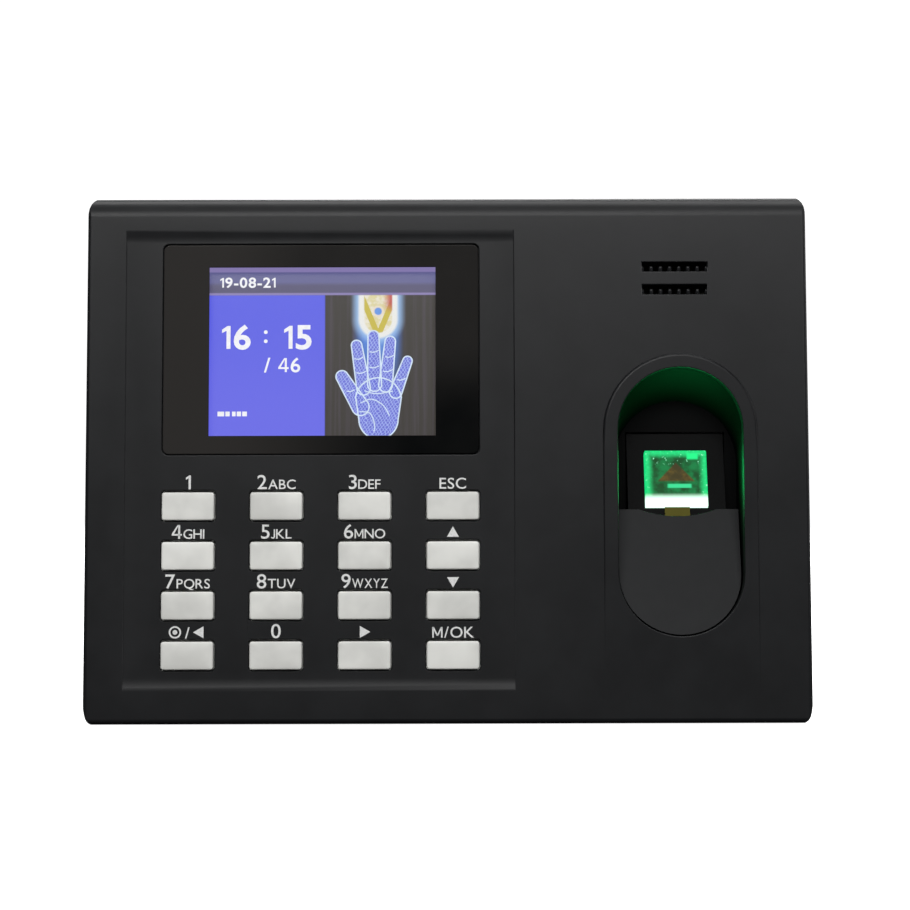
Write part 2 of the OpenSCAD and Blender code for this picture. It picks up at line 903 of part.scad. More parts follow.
module keypad_mat() {
    dome = [3.3, 2.3];
    color("#c9cfd2")
    difference() {
        union() {
            face_plate(keypad_x, keypad_v, [mat_back, mat_front])
                keypad_outline();
            for (c = [0 : 3])
                for (r = [0 : 3])
                    on_face()
                        translate([key_spot(c, r)[0], key_spot(c, r)[1], mat_front - slim])
                            cylinder(h = dome_h + slim, r1 = dome[0], r2 = dome[1]);
        }
        for (p = KEY_BOSSES)
            face_bar(p[0], p[1], [-reach, 0], small_boss_r + loose);
    }
}

module keypad_pcb() {
    color(board_green)
    difference() {
        face_plate(keypad_x, keypad_v, [key_pcb_back, mat_back])
            keypad_outline();
        for (p = KEY_BOSSES)
            face_bar(p[0], p[1], [-reach, 0], small_r + passing);
    }
}

// Flat film lead between keypad board and main board, bowed up in the middle
module keypad_ribbon() {
    x = [-19, -11];
    z = -8;
    film_t = 0.3;
    bow = 1.6;
    steps = 12;
    start = -board_front + PLUGS[1][4] + slim;
    end = from_wall((z - height(0, key_pcb_back)) / cos(tilt), key_pcb_back) - slim;
    function bow_z(i) = z + bow * sin(180 * i / steps);
    color("#d8d8d2")
        translate([x[1], 0, 0])
            rotate([90, 0, -90])
                linear_extrude(x[1] - x[0])
                    polygon(concat(
                        [for (i = [0 : steps]) [start + (end - start) * i / steps, bow_z(i)]],
                        [for (i = [steps : -1 : 0]) [start + (end - start) * i / steps, bow_z(i) + film_t]]
                    ));
}

module key_cap(column, row) {
    p = key_spot(column, row);
    top = panel_w0 + key_rise;
    crown = 0.3;
    color(key_grey) {
        face_plate(p[0], p[1], [flange_back, flange_front])
            rounded(key_w + 2 * key_flange, key_h + 2 * key_flange, key_corner);
        face_plate(p[0], p[1], [flange_front, top - crown])
            rounded(key_w, key_h, key_corner);
        face_plate(p[0], p[1], [top - crown, top])
            rounded(key_w - crown, key_h - crown, key_corner);
    }
}

// Space under a plane parallel to the finger rest
module below_rest(s) {
    on_rest()
        span([-reach, reach], [-reach, 2 * reach], [-reach, s]);
}

// Solid of the niche behind the cover, down to a floor: an upright slot under a sloping arch
module niche_form(r, mouth, floor_w) {
    roof = atan(roof_drop / (niche_depth - wall));
    intersection() {
        face_plate(niche_x, 0, [floor_w, mouth])
            polygon(concat(
                [[r, far], [-r, far]],
                arc_points(0, foot_v, r, r, 180, 360, arch_steps)
            ));
        on_face()
            translate([niche_x, arch_v, -wall])
                rotate([-roof, 0, 0])
                    linear_extrude(2 * reach, center = true)
                        polygon(concat(
                            arc_points(0, 0, r, r * cos(roof), 0, 180, arch_steps),
                            [[-r, -far], [r, -far]]
                        ));
    }
}

module niche_liner() {
    color(niche_black)
    difference() {
        union() {
            niche_form(niche_r + liner_wall, -wall, -liner_floor);
            for (v = [LINER_EARS[0][1], LINER_EARS[1][1]])
                on_face()
                    span(about(niche_x, niche_r + liner_ear_x + small_boss_r),
                        about(v, small_boss_r),
                        [liner_ear_w - ear_t, liner_ear_w]);
            for (p = SENSOR_EARS)
                face_bar(p[0], p[1], [-post_end, -liner_floor + passing], post_r);
        }
        niche_form(niche_r, cut - wall, -niche_depth);
        on_face()
            span(about(niche_x, sensor_half_w + loose),
                [sensor_v[0] - loose, sensor_v[1] + loose],
                [-reach, 0]);
        for (p = LINER_EARS)
            face_bar(p[0], p[1], [-reach, 0], small_r + passing);
        for (p = SENSOR_EARS)
            face_bar(p[0], p[1], [-reach, -liner_floor + small_bite], small_r + hair);
    }
}

module finger_rest() {
    scoop = asin(sqrt(pow(scoop_r, 2) - pow(scoop_r - scoop_depth, 2)) / scoop_r);
    leg_v = [rest_top_v - 12, rest_top_v - 4];
    leg_x = [sensor_half_w + 2 * loose, niche_r - cut];
    color(rest_grey) {
        intersection() {
            on_rest()
                translate([0, 0, -rest_t])
                    linear_extrude(rest_t)
                        polygon(concat(
                            [[-niche_r, -niche_r], [niche_r, -niche_r], [niche_r, rest_l]],
                            arc_points(0, rest_l - scoop_depth + scoop_r, scoop_r, scoop_r,
                                scoop - 90, -scoop - 90, arch_steps),
                            [[-niche_r, rest_l]]
                        ));
            face_plate(niche_x, 0, [-reach, reach])
                slot_outline(niche_r - loose, foot_v, arch_v);
        }
        for (side = [-1, 1])
            intersection() {
                below_rest(-rest_t / 2);
                on_face()
                    translate([niche_x, 0, 0])
                        span([min(side * leg_x[0], side * leg_x[1]), max(side * leg_x[0], side * leg_x[1])],
                            leg_v, [-niche_depth, 0]);
            }
    }
}

module finger_detector() {
    half_w = 3.2;
    under = 1.6;
    sink = 0.9;
    color("#8a8a2c")
        on_rest()
            span(about(0, half_w), [rest_l - under, prism_low - passing], [-rest_t - passing, -sink]);
}

module sensor_prism() {
    shoulder = 2;
    chamfer = 4.5;
    high = prism_low + prism_l;
    color("#45e08a")
        on_rest()
            translate([-prism_w / 2, 0, 0])
                rotate([90, 0, 90])
                    linear_extrude(prism_w)
                        polygon([
                            [prism_low, -prism_sink], [prism_low, -prism_sink - prism_t],
                            [high - chamfer, -prism_sink - prism_t], [high, -prism_sink - shoulder],
                            [high, -prism_sink]
                        ]);
}

module sensor_housing() {
    top_s = -rest_t - passing;
    well = -10;
    color(part_black)
    difference() {
        union() {
            intersection() {
                below_rest(top_s);
                on_face()
                    span(about(niche_x, sensor_half_w), sensor_v, [-sensor_depth, 0]);
            }
            for (v = [SENSOR_EARS[0][1], SENSOR_EARS[1][1]])
                on_face()
                    span(about(niche_x, sensor_half_w + sensor_ear[2]),
                        about(v, sensor_ear[1]),
                        [-post_end - ear_t, -post_end]);
        }
        intersection() {
            below_rest(top_s - sensor_wall);
            on_face()
                span(about(niche_x, sensor_half_w - sensor_wall),
                    [sensor_v[0] + sensor_wall, sensor_v[1] - sensor_wall], [-reach, 0]);
        }
        on_rest()
            span(about(0, prism_w / 2 + snug), [prism_low - snug, prism_low + prism_l + snug], [well, cut]);
        for (p = SENSOR_EARS)
            face_bar(p[0], p[1], [-reach, 0], small_r + passing);
    }
}

module sensor_leds() {
    board_s = [-9.6, -8.6];
    board_l = 12;
    led = 2;
    led_h = 0.8;
    led_pitch = 4.8;
    led_at = prism_low + 5;
    color("#e8efe8")
        on_rest() {
            span(about(0, sensor_half_w - sensor_wall - passing),
                [prism_low, prism_low + board_l],
                board_s);
            for (i = [-1.5 : 1.5])
                span(about(i * led_pitch, led / 2),
                    about(led_at, led / 2),
                    [board_s[1], board_s[1] + led_h]);
        }
}

module sensor_camera() {
    barrel_v = [rest_top_v - 12, rest_top_v - 3.5];
    barrel_w = -13.8;
    barrel_r = 2.6;
    block_half_w = 5;
    block_l = 3;
    block_w = -10;
    color("#30343a")
        on_face()
            translate([niche_x, 0, 0]) {
                translate([0, barrel_v[0] - cut, barrel_w])
                    rotate([-90, 0, 0])
                        cylinder(h = barrel_v[1] - barrel_v[0] + cut, r = barrel_r);
                span(about(0, block_half_w),
                    [barrel_v[0] - block_l, barrel_v[0]],
                    [-sensor_depth, block_w]);
            }
}

module sensor_pcb() {
    color(board_green)
        on_face()
            span(about(niche_x, sensor_half_w - passing),
                [sensor_v[0] + passing, sensor_v[1] - passing],
                [-sensor_depth - board_t, -sensor_depth]);
}

// Film lead that laps over the backs of the main board and the sensor's board
module sensor_cable() {
    film_t = 0.5;
    z = [-9, -3];
    lap = [6, 7];
    back_w = -sensor_depth - board_t;
    seat_y = max(board_rear, -from_wall((z[1] - height(0, back_w)) / cos(tilt), back_w)) + slim;
    color("#d8d8d2")
        span([board_right - lap[0], niche_x - sensor_half_w + lap[1]], [seat_y, seat_y + film_t], z);
}

module speaker_frame() {
    depth = 4.6;
    plate = 0.8;
    rim = 1.6;
    magnet_hole_r = 6.6;
    color("#3a3d42")
        on_face()
            translate([speaker_x, speaker_v, -wall - depth])
                difference() {
                    cylinder(h = depth - slim, r = speaker_r);
                    translate([0, 0, plate])
                        cylinder(h = depth, r = speaker_r - rim);
                    translate([0, 0, -cut])
                        cylinder(h = depth, r = magnet_hole_r);
                }
}

module speaker_cone() {
    r = speaker_r - 1.7;
    waist = 5;
    paper = 0.5;
    level = [-2.6, -3.4, -0.9];
    color("#6b6457")
        on_face()
            translate([speaker_x, speaker_v, -wall])
                rotate_extrude()
                    polygon([
                        [0, level[0]], [waist, level[1]], [r, level[2]],
                        [r, level[2] + paper], [waist, level[1] + paper], [0, level[0] + paper]
                    ]);
}

module speaker_magnet() {
    r = 6.5;
    depth = [8, 3.9];
    color(steel)
        face_bar(speaker_x, speaker_v, [-wall - depth[0], -wall - depth[1]], r);
}

// Plugs on the main board: middle across and up the wall, width, height, height off the board
PLUGS = [
    [screen_x, 4.5, 19, 4, 2],
    [-15, -8, 10, 3, 2.5],
    [30, 36, 5, 3, 3],
    [-55.5, -8, 6, 4, 4]
];

// Loose leads: two to the speaker and four to the socket board
module lead_wires() {
    pitch = 1.3;
    wire_r = 0.5;
    gap = wire_r + slim;
    speaker_end = [speaker_x - 11, face_y + speaker_v * sin(tilt) + wall + 5.4, speaker_v - 3];
    speaker_plug = [PLUGS[2][0], board_front - PLUGS[2][4] - gap, PLUGS[2][1]];
    usb_end = [usb_x, usb_y[1] - gap, usb_board_z[1] - 2];
    usb_plug = [PLUGS[3][0], board_front - PLUGS[3][4] + 1.1, PLUGS[3][1] - PLUGS[3][3] / 2 - gap / 2];
    color("#a33a32") {
        for (i = [-0.5, 0.5])
            wire(speaker_end + [0, 0, i * pitch], speaker_plug + [0, 0, i * pitch], wire_r);
        for (i = [-1.5 : 1 : 1.5])
            wire(usb_end + [i * pitch, 0, 0], usb_plug + [i * pitch, 0, 0], wire_r);
    }
}

// Flat block standing on the front of the main board
module on_board(x, z, w, h, t) {
    span(about(x, w / 2), [board_front - t, board_front], about(z, h / 2));
}

module main_pcb() {
    color(board_green)
    difference() {
        span([board_left, board_right], [board_front, board_rear], [board_low, board_top]);
        for (p = BOARD_SPOTS)
            bar_y(p[0], p[1], [-reach, 0], small_r + passing);
        bar_y(tamper_x, tamper_z, [-reach, 0], plunger_r + loose);
    }
}

module processor_chips() {
    chips = [
        [-40, 24, 14, 14, 1.4], [-23, 24, 9, 13, 1.1], [-40, 38, 12, 8, 1.1],
        [-1, 9, 7, 7, 1], [14, 24, 6, 6, 1]
    ];
    color("#1d1f22")
        for (c = chips)
            on_board(c[0], c[1], c[2], c[3], c[4]);
}

module capacitors() {
    cans = [[14, 4, 7], [14, 12, 7], [22, 4, 5.5]];
    can_r = 3.15;
    color("#30343c")
        for (p = cans)
            bar_y(p[0], p[1], [board_front - p[2], board_front], can_r);
}

module board_connectors() {
    color("#e4e1d6")
        for (c = PLUGS)
            on_board(c[0], c[1], c[2], c[3], c[4]);
}

module coin_cell() {
    color(steel)
        bar_y(cell_x, cell_z, about(board_front - holder_base - cell_t / 2, cell_t / 2), cell_r);
}

module coin_cell_holder() {
    rim_r = cell_r + holder_rim;
    thumb_half_w = 6;
    color(part_black)
    difference() {
        bar_y(cell_x, cell_z, [board_front - holder_base - holder_h, board_front], rim_r);
        bar_y(cell_x, cell_z, [-reach, board_front - holder_base], cell_r + slim);
        span(about(cell_x, thumb_half_w),
            [-reach, board_front - holder_base],
            [cell_z, cell_z + 2 * rim_r]);
    }
}

// Body of a port that looks down into the cable bay
module port_body(x, size) {
    span(about(x, size[0] / 2),
        [board_front - size[1], board_front],
        [bay_top - port_out, bay_top - port_out + size[2]]);
}

module rj45_jack() {
    plug_half = [5.9, 3.4];
    latch_half_w = 3;
    latch_h = [11.2, 8];
    middle = 6.4;
    inside = [bay_top - port_cut, bay_top + 12];
    color("#c4c7cb")
    difference() {
        port_body(rj45_x, rj45_size);
        span(about(rj45_x, plug_half[0]), about(board_front - middle, plug_half[1]), inside);
        span(about(rj45_x, latch_half_w), [board_front - latch_h[0], board_front - latch_h[1]], inside);
    }
}

module dc_jack() {
    bore_r = 3.15;
    bore_l = 9;
    pin_r = 1;
    pin_sink = 0.8;
    middle = board_front - 5.8;
    color(part_black) {
        difference() {
            port_body(dc_x, dc_size);
            bar_z(dc_x, middle, [bay_top - port_cut, bay_top + bore_l], bore_r);
        }
        bar_z(dc_x, middle, [bay_top + pin_sink, bay_top + bore_l + cut], pin_r);
    }
}

module terminal_block() {
    wire_half = [1.2, 1.4];
    wire_y = board_front - 3.4;
    wire_l = 5;
    screw_r = 1.3;
    screw_z = bay_top + 4;
    screw_y = board_front - block_size[1] + 2;
    color("#3c8a4c")
    difference() {
        port_body(block_x, block_size);
        for (i = [0 : block_ways - 1])
            translate([block_x + (i - (block_ways - 1) / 2) * block_pitch, 0, 0]) {
                span(about(0, wire_half[0]),
                    about(wire_y, wire_half[1]),
                    [bay_top - port_cut, bay_top + wire_l]);
                bar_y(0, screw_z, [-reach, screw_y], screw_r);
            }
    }
}

module usb_socket() {
    skin = 0.4;
    back = 1.5;
    tongue = [11, 1.9, 10];
    tongue_y = usb_y[0] + 1;
    color(steel) {
        difference() {
            span(about(usb_x, usb_w / 2), usb_y, usb_z);
            span(about(usb_x, usb_w / 2 - skin),
                [usb_y[0] + skin, usb_y[1] - skin],
                [usb_z[0] - cut, usb_z[1] - back]);
        }
        span(about(usb_x, tongue[0] / 2),
            [tongue_y, tongue_y + tongue[1]],
            [usb_z[1] - back + cut - tongue[2], usb_z[1] - back + cut]);
    }
}

module usb_pcb() {
    color(board_green)
    difference() {
        span(about(usb_x, usb_board_half_w), [usb_y[1], usb_board_y], usb_board_z);
        for (p = usb_spots)
            bar_y(p[0], p[1], [-reach, 0], small_r + passing);
    }
}

module reset_switch() {
    color("#4a4d52")
    difference() {
        span(about(reset_x, reset_size[0] / 2), [board_front - reset_size[1], board_front],
            [board_low, board_low + reset_size[2]]);
        bar_z(reset_x, reset_y, [board_low - cut, board_low + reset_well], reset_r + slim);
    }
}

module reset_button() {
    stands_out = 0.4;
    color("#d9d4c4")
        bar_z(reset_x, reset_y, [bay_top - stands_out, board_low + reset_stem], reset_r);
}

module tamper_switch() {
    side = 7;
    tall = 4.6;
    well = 4;
    color("#2a2c30")
    difference() {
        on_board(tamper_x, tamper_z, side, side, tall);
        bar_y(tamper_x, tamper_z, [board_front - well, 0], plunger_r + slim);
    }
}

module tamper_plunger() {
    nose_h = 0.9;
    inside = 3.1;
    color("#e8e6df") {
        bar_y(tamper_x, tamper_z, [board_front - inside, plunger_tip - nose_h], plunger_r);
        translate([tamper_x, plunger_tip - nose_h, tamper_z])
            rotate([-90, 0, 0])
                cylinder(h = nose_h, r1 = plunger_r, r2 = plunger_nose_r);
    }
}

module case_screws() {
    color(steel)
        for (p = case_spots) {
            bar_y(p[0], p[1], [case_head_y, case_head_y + case_head_h], case_head_r);
            bar_y(p[0], p[1], [case_screw_tip, case_head_y], case_screw_r);
        }
}

// Small screw square to the face: its head seats at one level and its tip reaches another
module face_screw(p, seat, tip) {
    face_bar(p[0], p[1], [seat - small_head_h, seat], small_head_r);
    face_bar(p[0], p[1], [seat, tip], small_r);
}

// Small screw along Y, its head towards the front
module wall_screw(p, seat, tip) {
    bar_y(p[0], p[1], [seat - small_head_h, seat], small_head_r);
    bar_y(p[0], p[1], [seat, tip], small_r);
}

module board_screws() {
    color(steel) {
        for (p = KEY_BOSSES)
            face_screw(p, key_pcb_back, -wall - loose);
        for (p = BRACKET_SPOTS)
            face_screw(p, bracket_back, pad_back + small_bite - slim);
        for (p = LINER_EARS)
            face_screw(p, liner_ear_w - ear_t, -wall + small_bite);
        for (p = SENSOR_EARS)
            face_screw(p, -post_end - ear_t, -liner_floor - passing);
        for (p = BOARD_SPOTS)
            wall_screw(p, board_front, board_tip);
        for (p = usb_spots)
            wall_screw(p, usb_y[1], usb_tip);
    }
}

module security_screw() {
    seat = lock_sink - body_h / 2;
    past_tab = 2.5;
    color(steel) {
        bar_z(0, lock_y, [seat - case_head_h, seat], case_head_r);
        bar_z(0, lock_y, [seat, plate_t - plate_h / 2 + past_tab], case_screw_r);
    }
}

front_cover();
rear_cover();
wall_plate();
screen_lens();
lens_tape();
lcd_bezel();
lcd_glass();
lcd_backlight();
lcd_bracket();
lcd_flex();
keypad_mat();
keypad_pcb();
keypad_ribbon();
niche_liner();
finger_rest();
finger_detector();
sensor_prism();
sensor_housing();
sensor_leds();
sensor_camera();
sensor_pcb();
sensor_cable();
speaker_frame();
speaker_cone();
speaker_magnet();
lead_wires();
main_pcb();
processor_chips();
capacitors();
board_connectors();
coin_cell();
coin_cell_holder();
rj45_jack();
dc_jack();
terminal_block();
usb_socket();
usb_pcb();
reset_switch();
reset_button();
tamper_switch();
tamper_plunger();
case_screws();
board_screws();
security_screw();
for (i = [0 : len(KEY_NAMES) - 1])
    key_cap(i % 4, floor(i / 4));
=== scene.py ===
import json
import math

import bmesh
import bpy
import numpy as np
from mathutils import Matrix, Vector

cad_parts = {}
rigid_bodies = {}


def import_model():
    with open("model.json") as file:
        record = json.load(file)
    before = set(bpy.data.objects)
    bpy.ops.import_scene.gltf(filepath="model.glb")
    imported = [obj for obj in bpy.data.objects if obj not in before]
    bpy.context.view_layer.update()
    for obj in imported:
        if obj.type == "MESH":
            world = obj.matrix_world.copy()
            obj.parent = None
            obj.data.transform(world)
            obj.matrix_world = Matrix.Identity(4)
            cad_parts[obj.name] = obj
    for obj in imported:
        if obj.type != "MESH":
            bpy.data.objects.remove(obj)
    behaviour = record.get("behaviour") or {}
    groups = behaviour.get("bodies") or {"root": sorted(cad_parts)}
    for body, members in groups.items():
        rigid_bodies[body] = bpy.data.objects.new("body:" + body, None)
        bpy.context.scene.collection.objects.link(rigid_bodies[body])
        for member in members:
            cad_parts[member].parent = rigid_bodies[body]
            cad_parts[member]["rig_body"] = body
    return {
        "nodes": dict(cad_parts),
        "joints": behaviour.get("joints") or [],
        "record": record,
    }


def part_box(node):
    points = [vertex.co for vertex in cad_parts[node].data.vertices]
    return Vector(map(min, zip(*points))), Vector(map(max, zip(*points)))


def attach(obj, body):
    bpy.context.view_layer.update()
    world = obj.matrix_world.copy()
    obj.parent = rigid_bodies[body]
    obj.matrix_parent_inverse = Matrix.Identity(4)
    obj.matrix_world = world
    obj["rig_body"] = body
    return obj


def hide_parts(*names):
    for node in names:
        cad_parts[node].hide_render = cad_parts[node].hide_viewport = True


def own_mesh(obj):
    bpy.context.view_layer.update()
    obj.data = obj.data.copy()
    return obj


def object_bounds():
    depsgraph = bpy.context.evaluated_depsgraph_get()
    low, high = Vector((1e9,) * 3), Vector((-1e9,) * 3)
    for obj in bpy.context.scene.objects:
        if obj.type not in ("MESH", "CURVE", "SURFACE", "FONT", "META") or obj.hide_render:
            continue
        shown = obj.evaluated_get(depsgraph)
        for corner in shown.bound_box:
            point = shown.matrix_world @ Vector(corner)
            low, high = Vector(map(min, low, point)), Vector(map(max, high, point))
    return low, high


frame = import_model()
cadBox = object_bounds()
nodes = frame["nodes"]
mm = 0.001
case, bracket = "terminal", "wall_bracket"
print("stage: frame loaded,", len(nodes), "nodes")


# ---- the sloping front: a frame whose axes are across, up the face and out of it ----
def findJoint(name):
    return next(j for j in frame["joints"] if j["name"] == name)


slope = dict(pressJoint="press_key_1", lensSink=0.65 * mm)
outward = -np.array(findJoint(slope["pressJoint"])["axis"], float)
outward /= np.linalg.norm(outward)
across = np.array([1.0, 0.0, 0.0])
upward = np.cross(outward, across)
cosTilt, sinTilt = upward[2], upward[1]


def plateOf(node):
    # a plate that lies in the face: its box spans height*sin + thick*cos in y and height*cos + thick*sin in z
    low, high = (np.array(c, float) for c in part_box(node))
    middle, size = (low + high) / 2, high - low
    spread = cosTilt**2 - sinTilt**2
    height = (size[2] * cosTilt - size[1] * sinTilt) / spread
    thick = (size[1] * cosTilt - size[2] * sinTilt) / spread
    return middle, size[0], height, thick


lensMiddle, lensW, lensH, lensT = plateOf("screen_lens")
faceY = lensMiddle[1] + (lensMiddle[2] * outward[2] + slope["lensSink"] + lensT / 2) / outward[1]
faceOrigin = np.array([0.0, faceY, 0.0])


def onFace(x, v, w):
    # origin + x*across + v*up the face + w*out of the face
    x, v, w = np.broadcast_arrays(x, v, w)
    return faceOrigin + x[..., None] * across + v[..., None] * upward + w[..., None] * outward


def faceSpot(point):
    # the same frame read backwards: across, up and out of a point in space
    d = np.asarray(point, float) - faceOrigin
    return d @ across, d @ upward, d @ outward


# ---- meshes ----
def meshPiece(name, points, faces, material, body, slot=None, smooth=True, uv=None):
    mesh = bpy.data.meshes.new(name)
    mesh.from_pydata(np.asarray(points, float).reshape(-1, 3).tolist(), [], [list(f) for f in faces])
    mesh.update()
    if uv is not None:
        loops = np.zeros(len(mesh.loops), np.int32)
        mesh.loops.foreach_get("vertex_index", loops)
        layer = mesh.uv_layers.new(name="UVMap")
        layer.data.foreach_set("uv", np.asarray(uv, np.float32)[loops].ravel())
    mesh.polygons.foreach_set("use_smooth", np.broadcast_to(smooth, len(mesh.polygons)).copy())
    mesh.materials.append(material)
    piece = bpy.data.objects.new(name, mesh)
    bpy.context.scene.collection.objects.link(piece)
    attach(piece, body)
    return piece


def bandFaces(rows, columns, closed=True, start=0):
    # quads between neighbouring rows of a grid of points, round the ring when it is closed
    i, j = np.meshgrid(np.arange(rows - 1), np.arange(columns if closed else columns - 1), indexing="ij")
    k = (j + 1) % columns
    return (np.stack([i * columns + j, i * columns + k, (i + 1) * columns + k, (i + 1) * columns + j], -1)
            .reshape(-1, 4) + start)


def loftRings(rings):
    # closed skin over a stack of rings, with a middle point that closes each end
    rings = np.asarray(rings, float)
    rows, columns = rings.shape[:2]
    points = np.concatenate([rings.reshape(-1, 3), rings[0].mean(0)[None], rings[-1].mean(0)[None]])
    first, last = rows * columns, rows * columns + 1
    j = np.arange(columns)
    k = (j + 1) % columns
    lastRow = (rows - 1) * columns
    faces = bandFaces(rows, columns).tolist()
    faces += np.stack([k, j, np.full(columns, first)], -1).tolist()
    faces += np.stack([lastRow + j, lastRow + k, np.full(columns, last)], -1).tolist()
    return points, faces


def roundedRing(halfW, halfH, radius, perCorner=8):
    # rectangle with quarter-circle corners: corner centre + radius * (cos, sin), anticlockwise
    a = np.linspace(0, math.pi / 2, perCorner)
    turn = np.concatenate([a + q * math.pi / 2 for q in range(4)])
    sx = np.repeat([1, -1, -1, 1], perCorner)
    sy = np.repeat([1, 1, -1, -1], perCorner)
    return sx * (halfW - radius) + radius * np.cos(turn), sy * (halfH - radius) + radius * np.sin(turn)


def softPlate(x, v, halfW, halfH, radius, profile):
    # rounded rectangle drawn in by each profile step and lifted to its level, in the face frame
    rings = []
    for inset, level in profile:
        px, pv = roundedRing(halfW - inset, halfH - inset, max(radius - inset, 0.02 * mm))
        rings.append(onFace(x + px, v + pv, level))
    return np.array(rings)


def edgeProfile(bottom, top, roll, steps=5, crown=0.0, inward=0.0):
    # up the side, round the edge on a quarter circle, then over a slight crown towards the middle
    a = np.linspace(0, math.pi / 2, steps)
    rim = [(roll * (1 - math.cos(t)), top - roll * (1 - math.sin(t))) for t in a]
    profile = [(0.0, bottom)] + rim
    if inward:
        for s in (0.35, 0.7, 0.95):
            profile.append((roll + (inward - roll) * s, top + crown * (1 - (1 - s) ** 2)))
    return profile


def soften(node, name, material, width, segments=2, limit=35, wider=None):
    # the node's own surface, merged, with its flats joined up and its sharp edges rolled over
    shape = bmesh.new()
    shape.from_mesh(nodes[node].data)
    bmesh.ops.remove_doubles(shape, verts=shape.verts, dist=0.003 * mm)
    bmesh.ops.dissolve_limit(shape, angle_limit=math.radians(0.4), verts=shape.verts, edges=shape.edges)
    if wider:  # each sharp edge's share of the widest roll
        middles = np.array([(e.verts[0].co + e.verts[1].co) / 2 for e in shape.edges])
        sharp = np.array([e.is_convex and e.calc_face_angle(0.0) > math.radians(limit) for e in shape.edges])
        share = np.where(sharp, np.maximum(width, wider(*faceSpot(middles))), 0.0)
        width = share.max()
    mesh = bpy.data.meshes.new(name)
    shape.to_mesh(mesh)
    shape.free()
    mesh.polygons.foreach_set("use_smooth", np.full(len(mesh.polygons), True))
    mesh.materials.append(material)
    piece = bpy.data.objects.new(name, mesh)
    bpy.context.scene.collection.objects.link(piece)
    roll = piece.modifiers.new("edges", "BEVEL")
    roll.width, roll.segments, roll.limit_method = width, segments, "ANGLE"
    if wider:
        weights = mesh.attributes.new("bevel_weight_edge", "FLOAT", "EDGE")
        weights.data.foreach_set("value", (share / width).astype(np.float32))
        roll.limit_method = "WEIGHT"
    roll.angle_limit, roll.use_clamp_overlap = math.radians(limit), not wider
    roll.miter_outer = "MITER_ARC"
    level = piece.modifiers.new("flats", "WEIGHTED_NORMAL")
    level.mode, level.weight, level.keep_sharp = "FACE_AREA_WITH_ANGLE", 100, False
    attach(piece, nodes[node]["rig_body"])
    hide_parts(node)
    return piece


# ---- shader maths ----
class Wire:  # one output socket, so that a sum or a product reads as plain maths
    def __init__(self, paint, socket):
        self.paint = paint
        self.socket = socket

    def maths(self, operation, *values):
        return self.paint.add("ShaderNodeMath", dict(operation=operation), values)

    def __add__(self, other):
        return self.maths("ADD", self, other)

    def __sub__(self, other):
        return self.maths("SUBTRACT", self, other)

    def __rsub__(self, other):
        return self.maths("SUBTRACT", other, self)

    def __mul__(self, other):
        return self.maths("MULTIPLY", self, other)

    def __truediv__(self, other):
        return self.maths("DIVIDE", self, other)

    def __gt__(self, other):
        return self.maths("GREATER_THAN", self, other)

    def __lt__(self, other):
        return self.maths("LESS_THAN", self, other)

    def __abs__(self):
        return self.maths("ABSOLUTE", self, 0.0)

    def low(self, other):
        return self.maths("MINIMUM", self, other)

    def high(self, other):
        return self.maths("MAXIMUM", self, other)

    def ease(self, start, end):
        # 0 below start, 1 above end, and a smooth step between
        return self.paint.add("ShaderNodeMapRange", dict(interpolation_type="SMOOTHSTEP"),
                              {"Value": self, "From Min": start, "From Max": end})

    __radd__ = __add__
    __rmul__ = __mul__


def root(wire):
    return wire.maths("SQRT", wire)


def fraction(wire):
    return wire.maths("FRACT", wire)


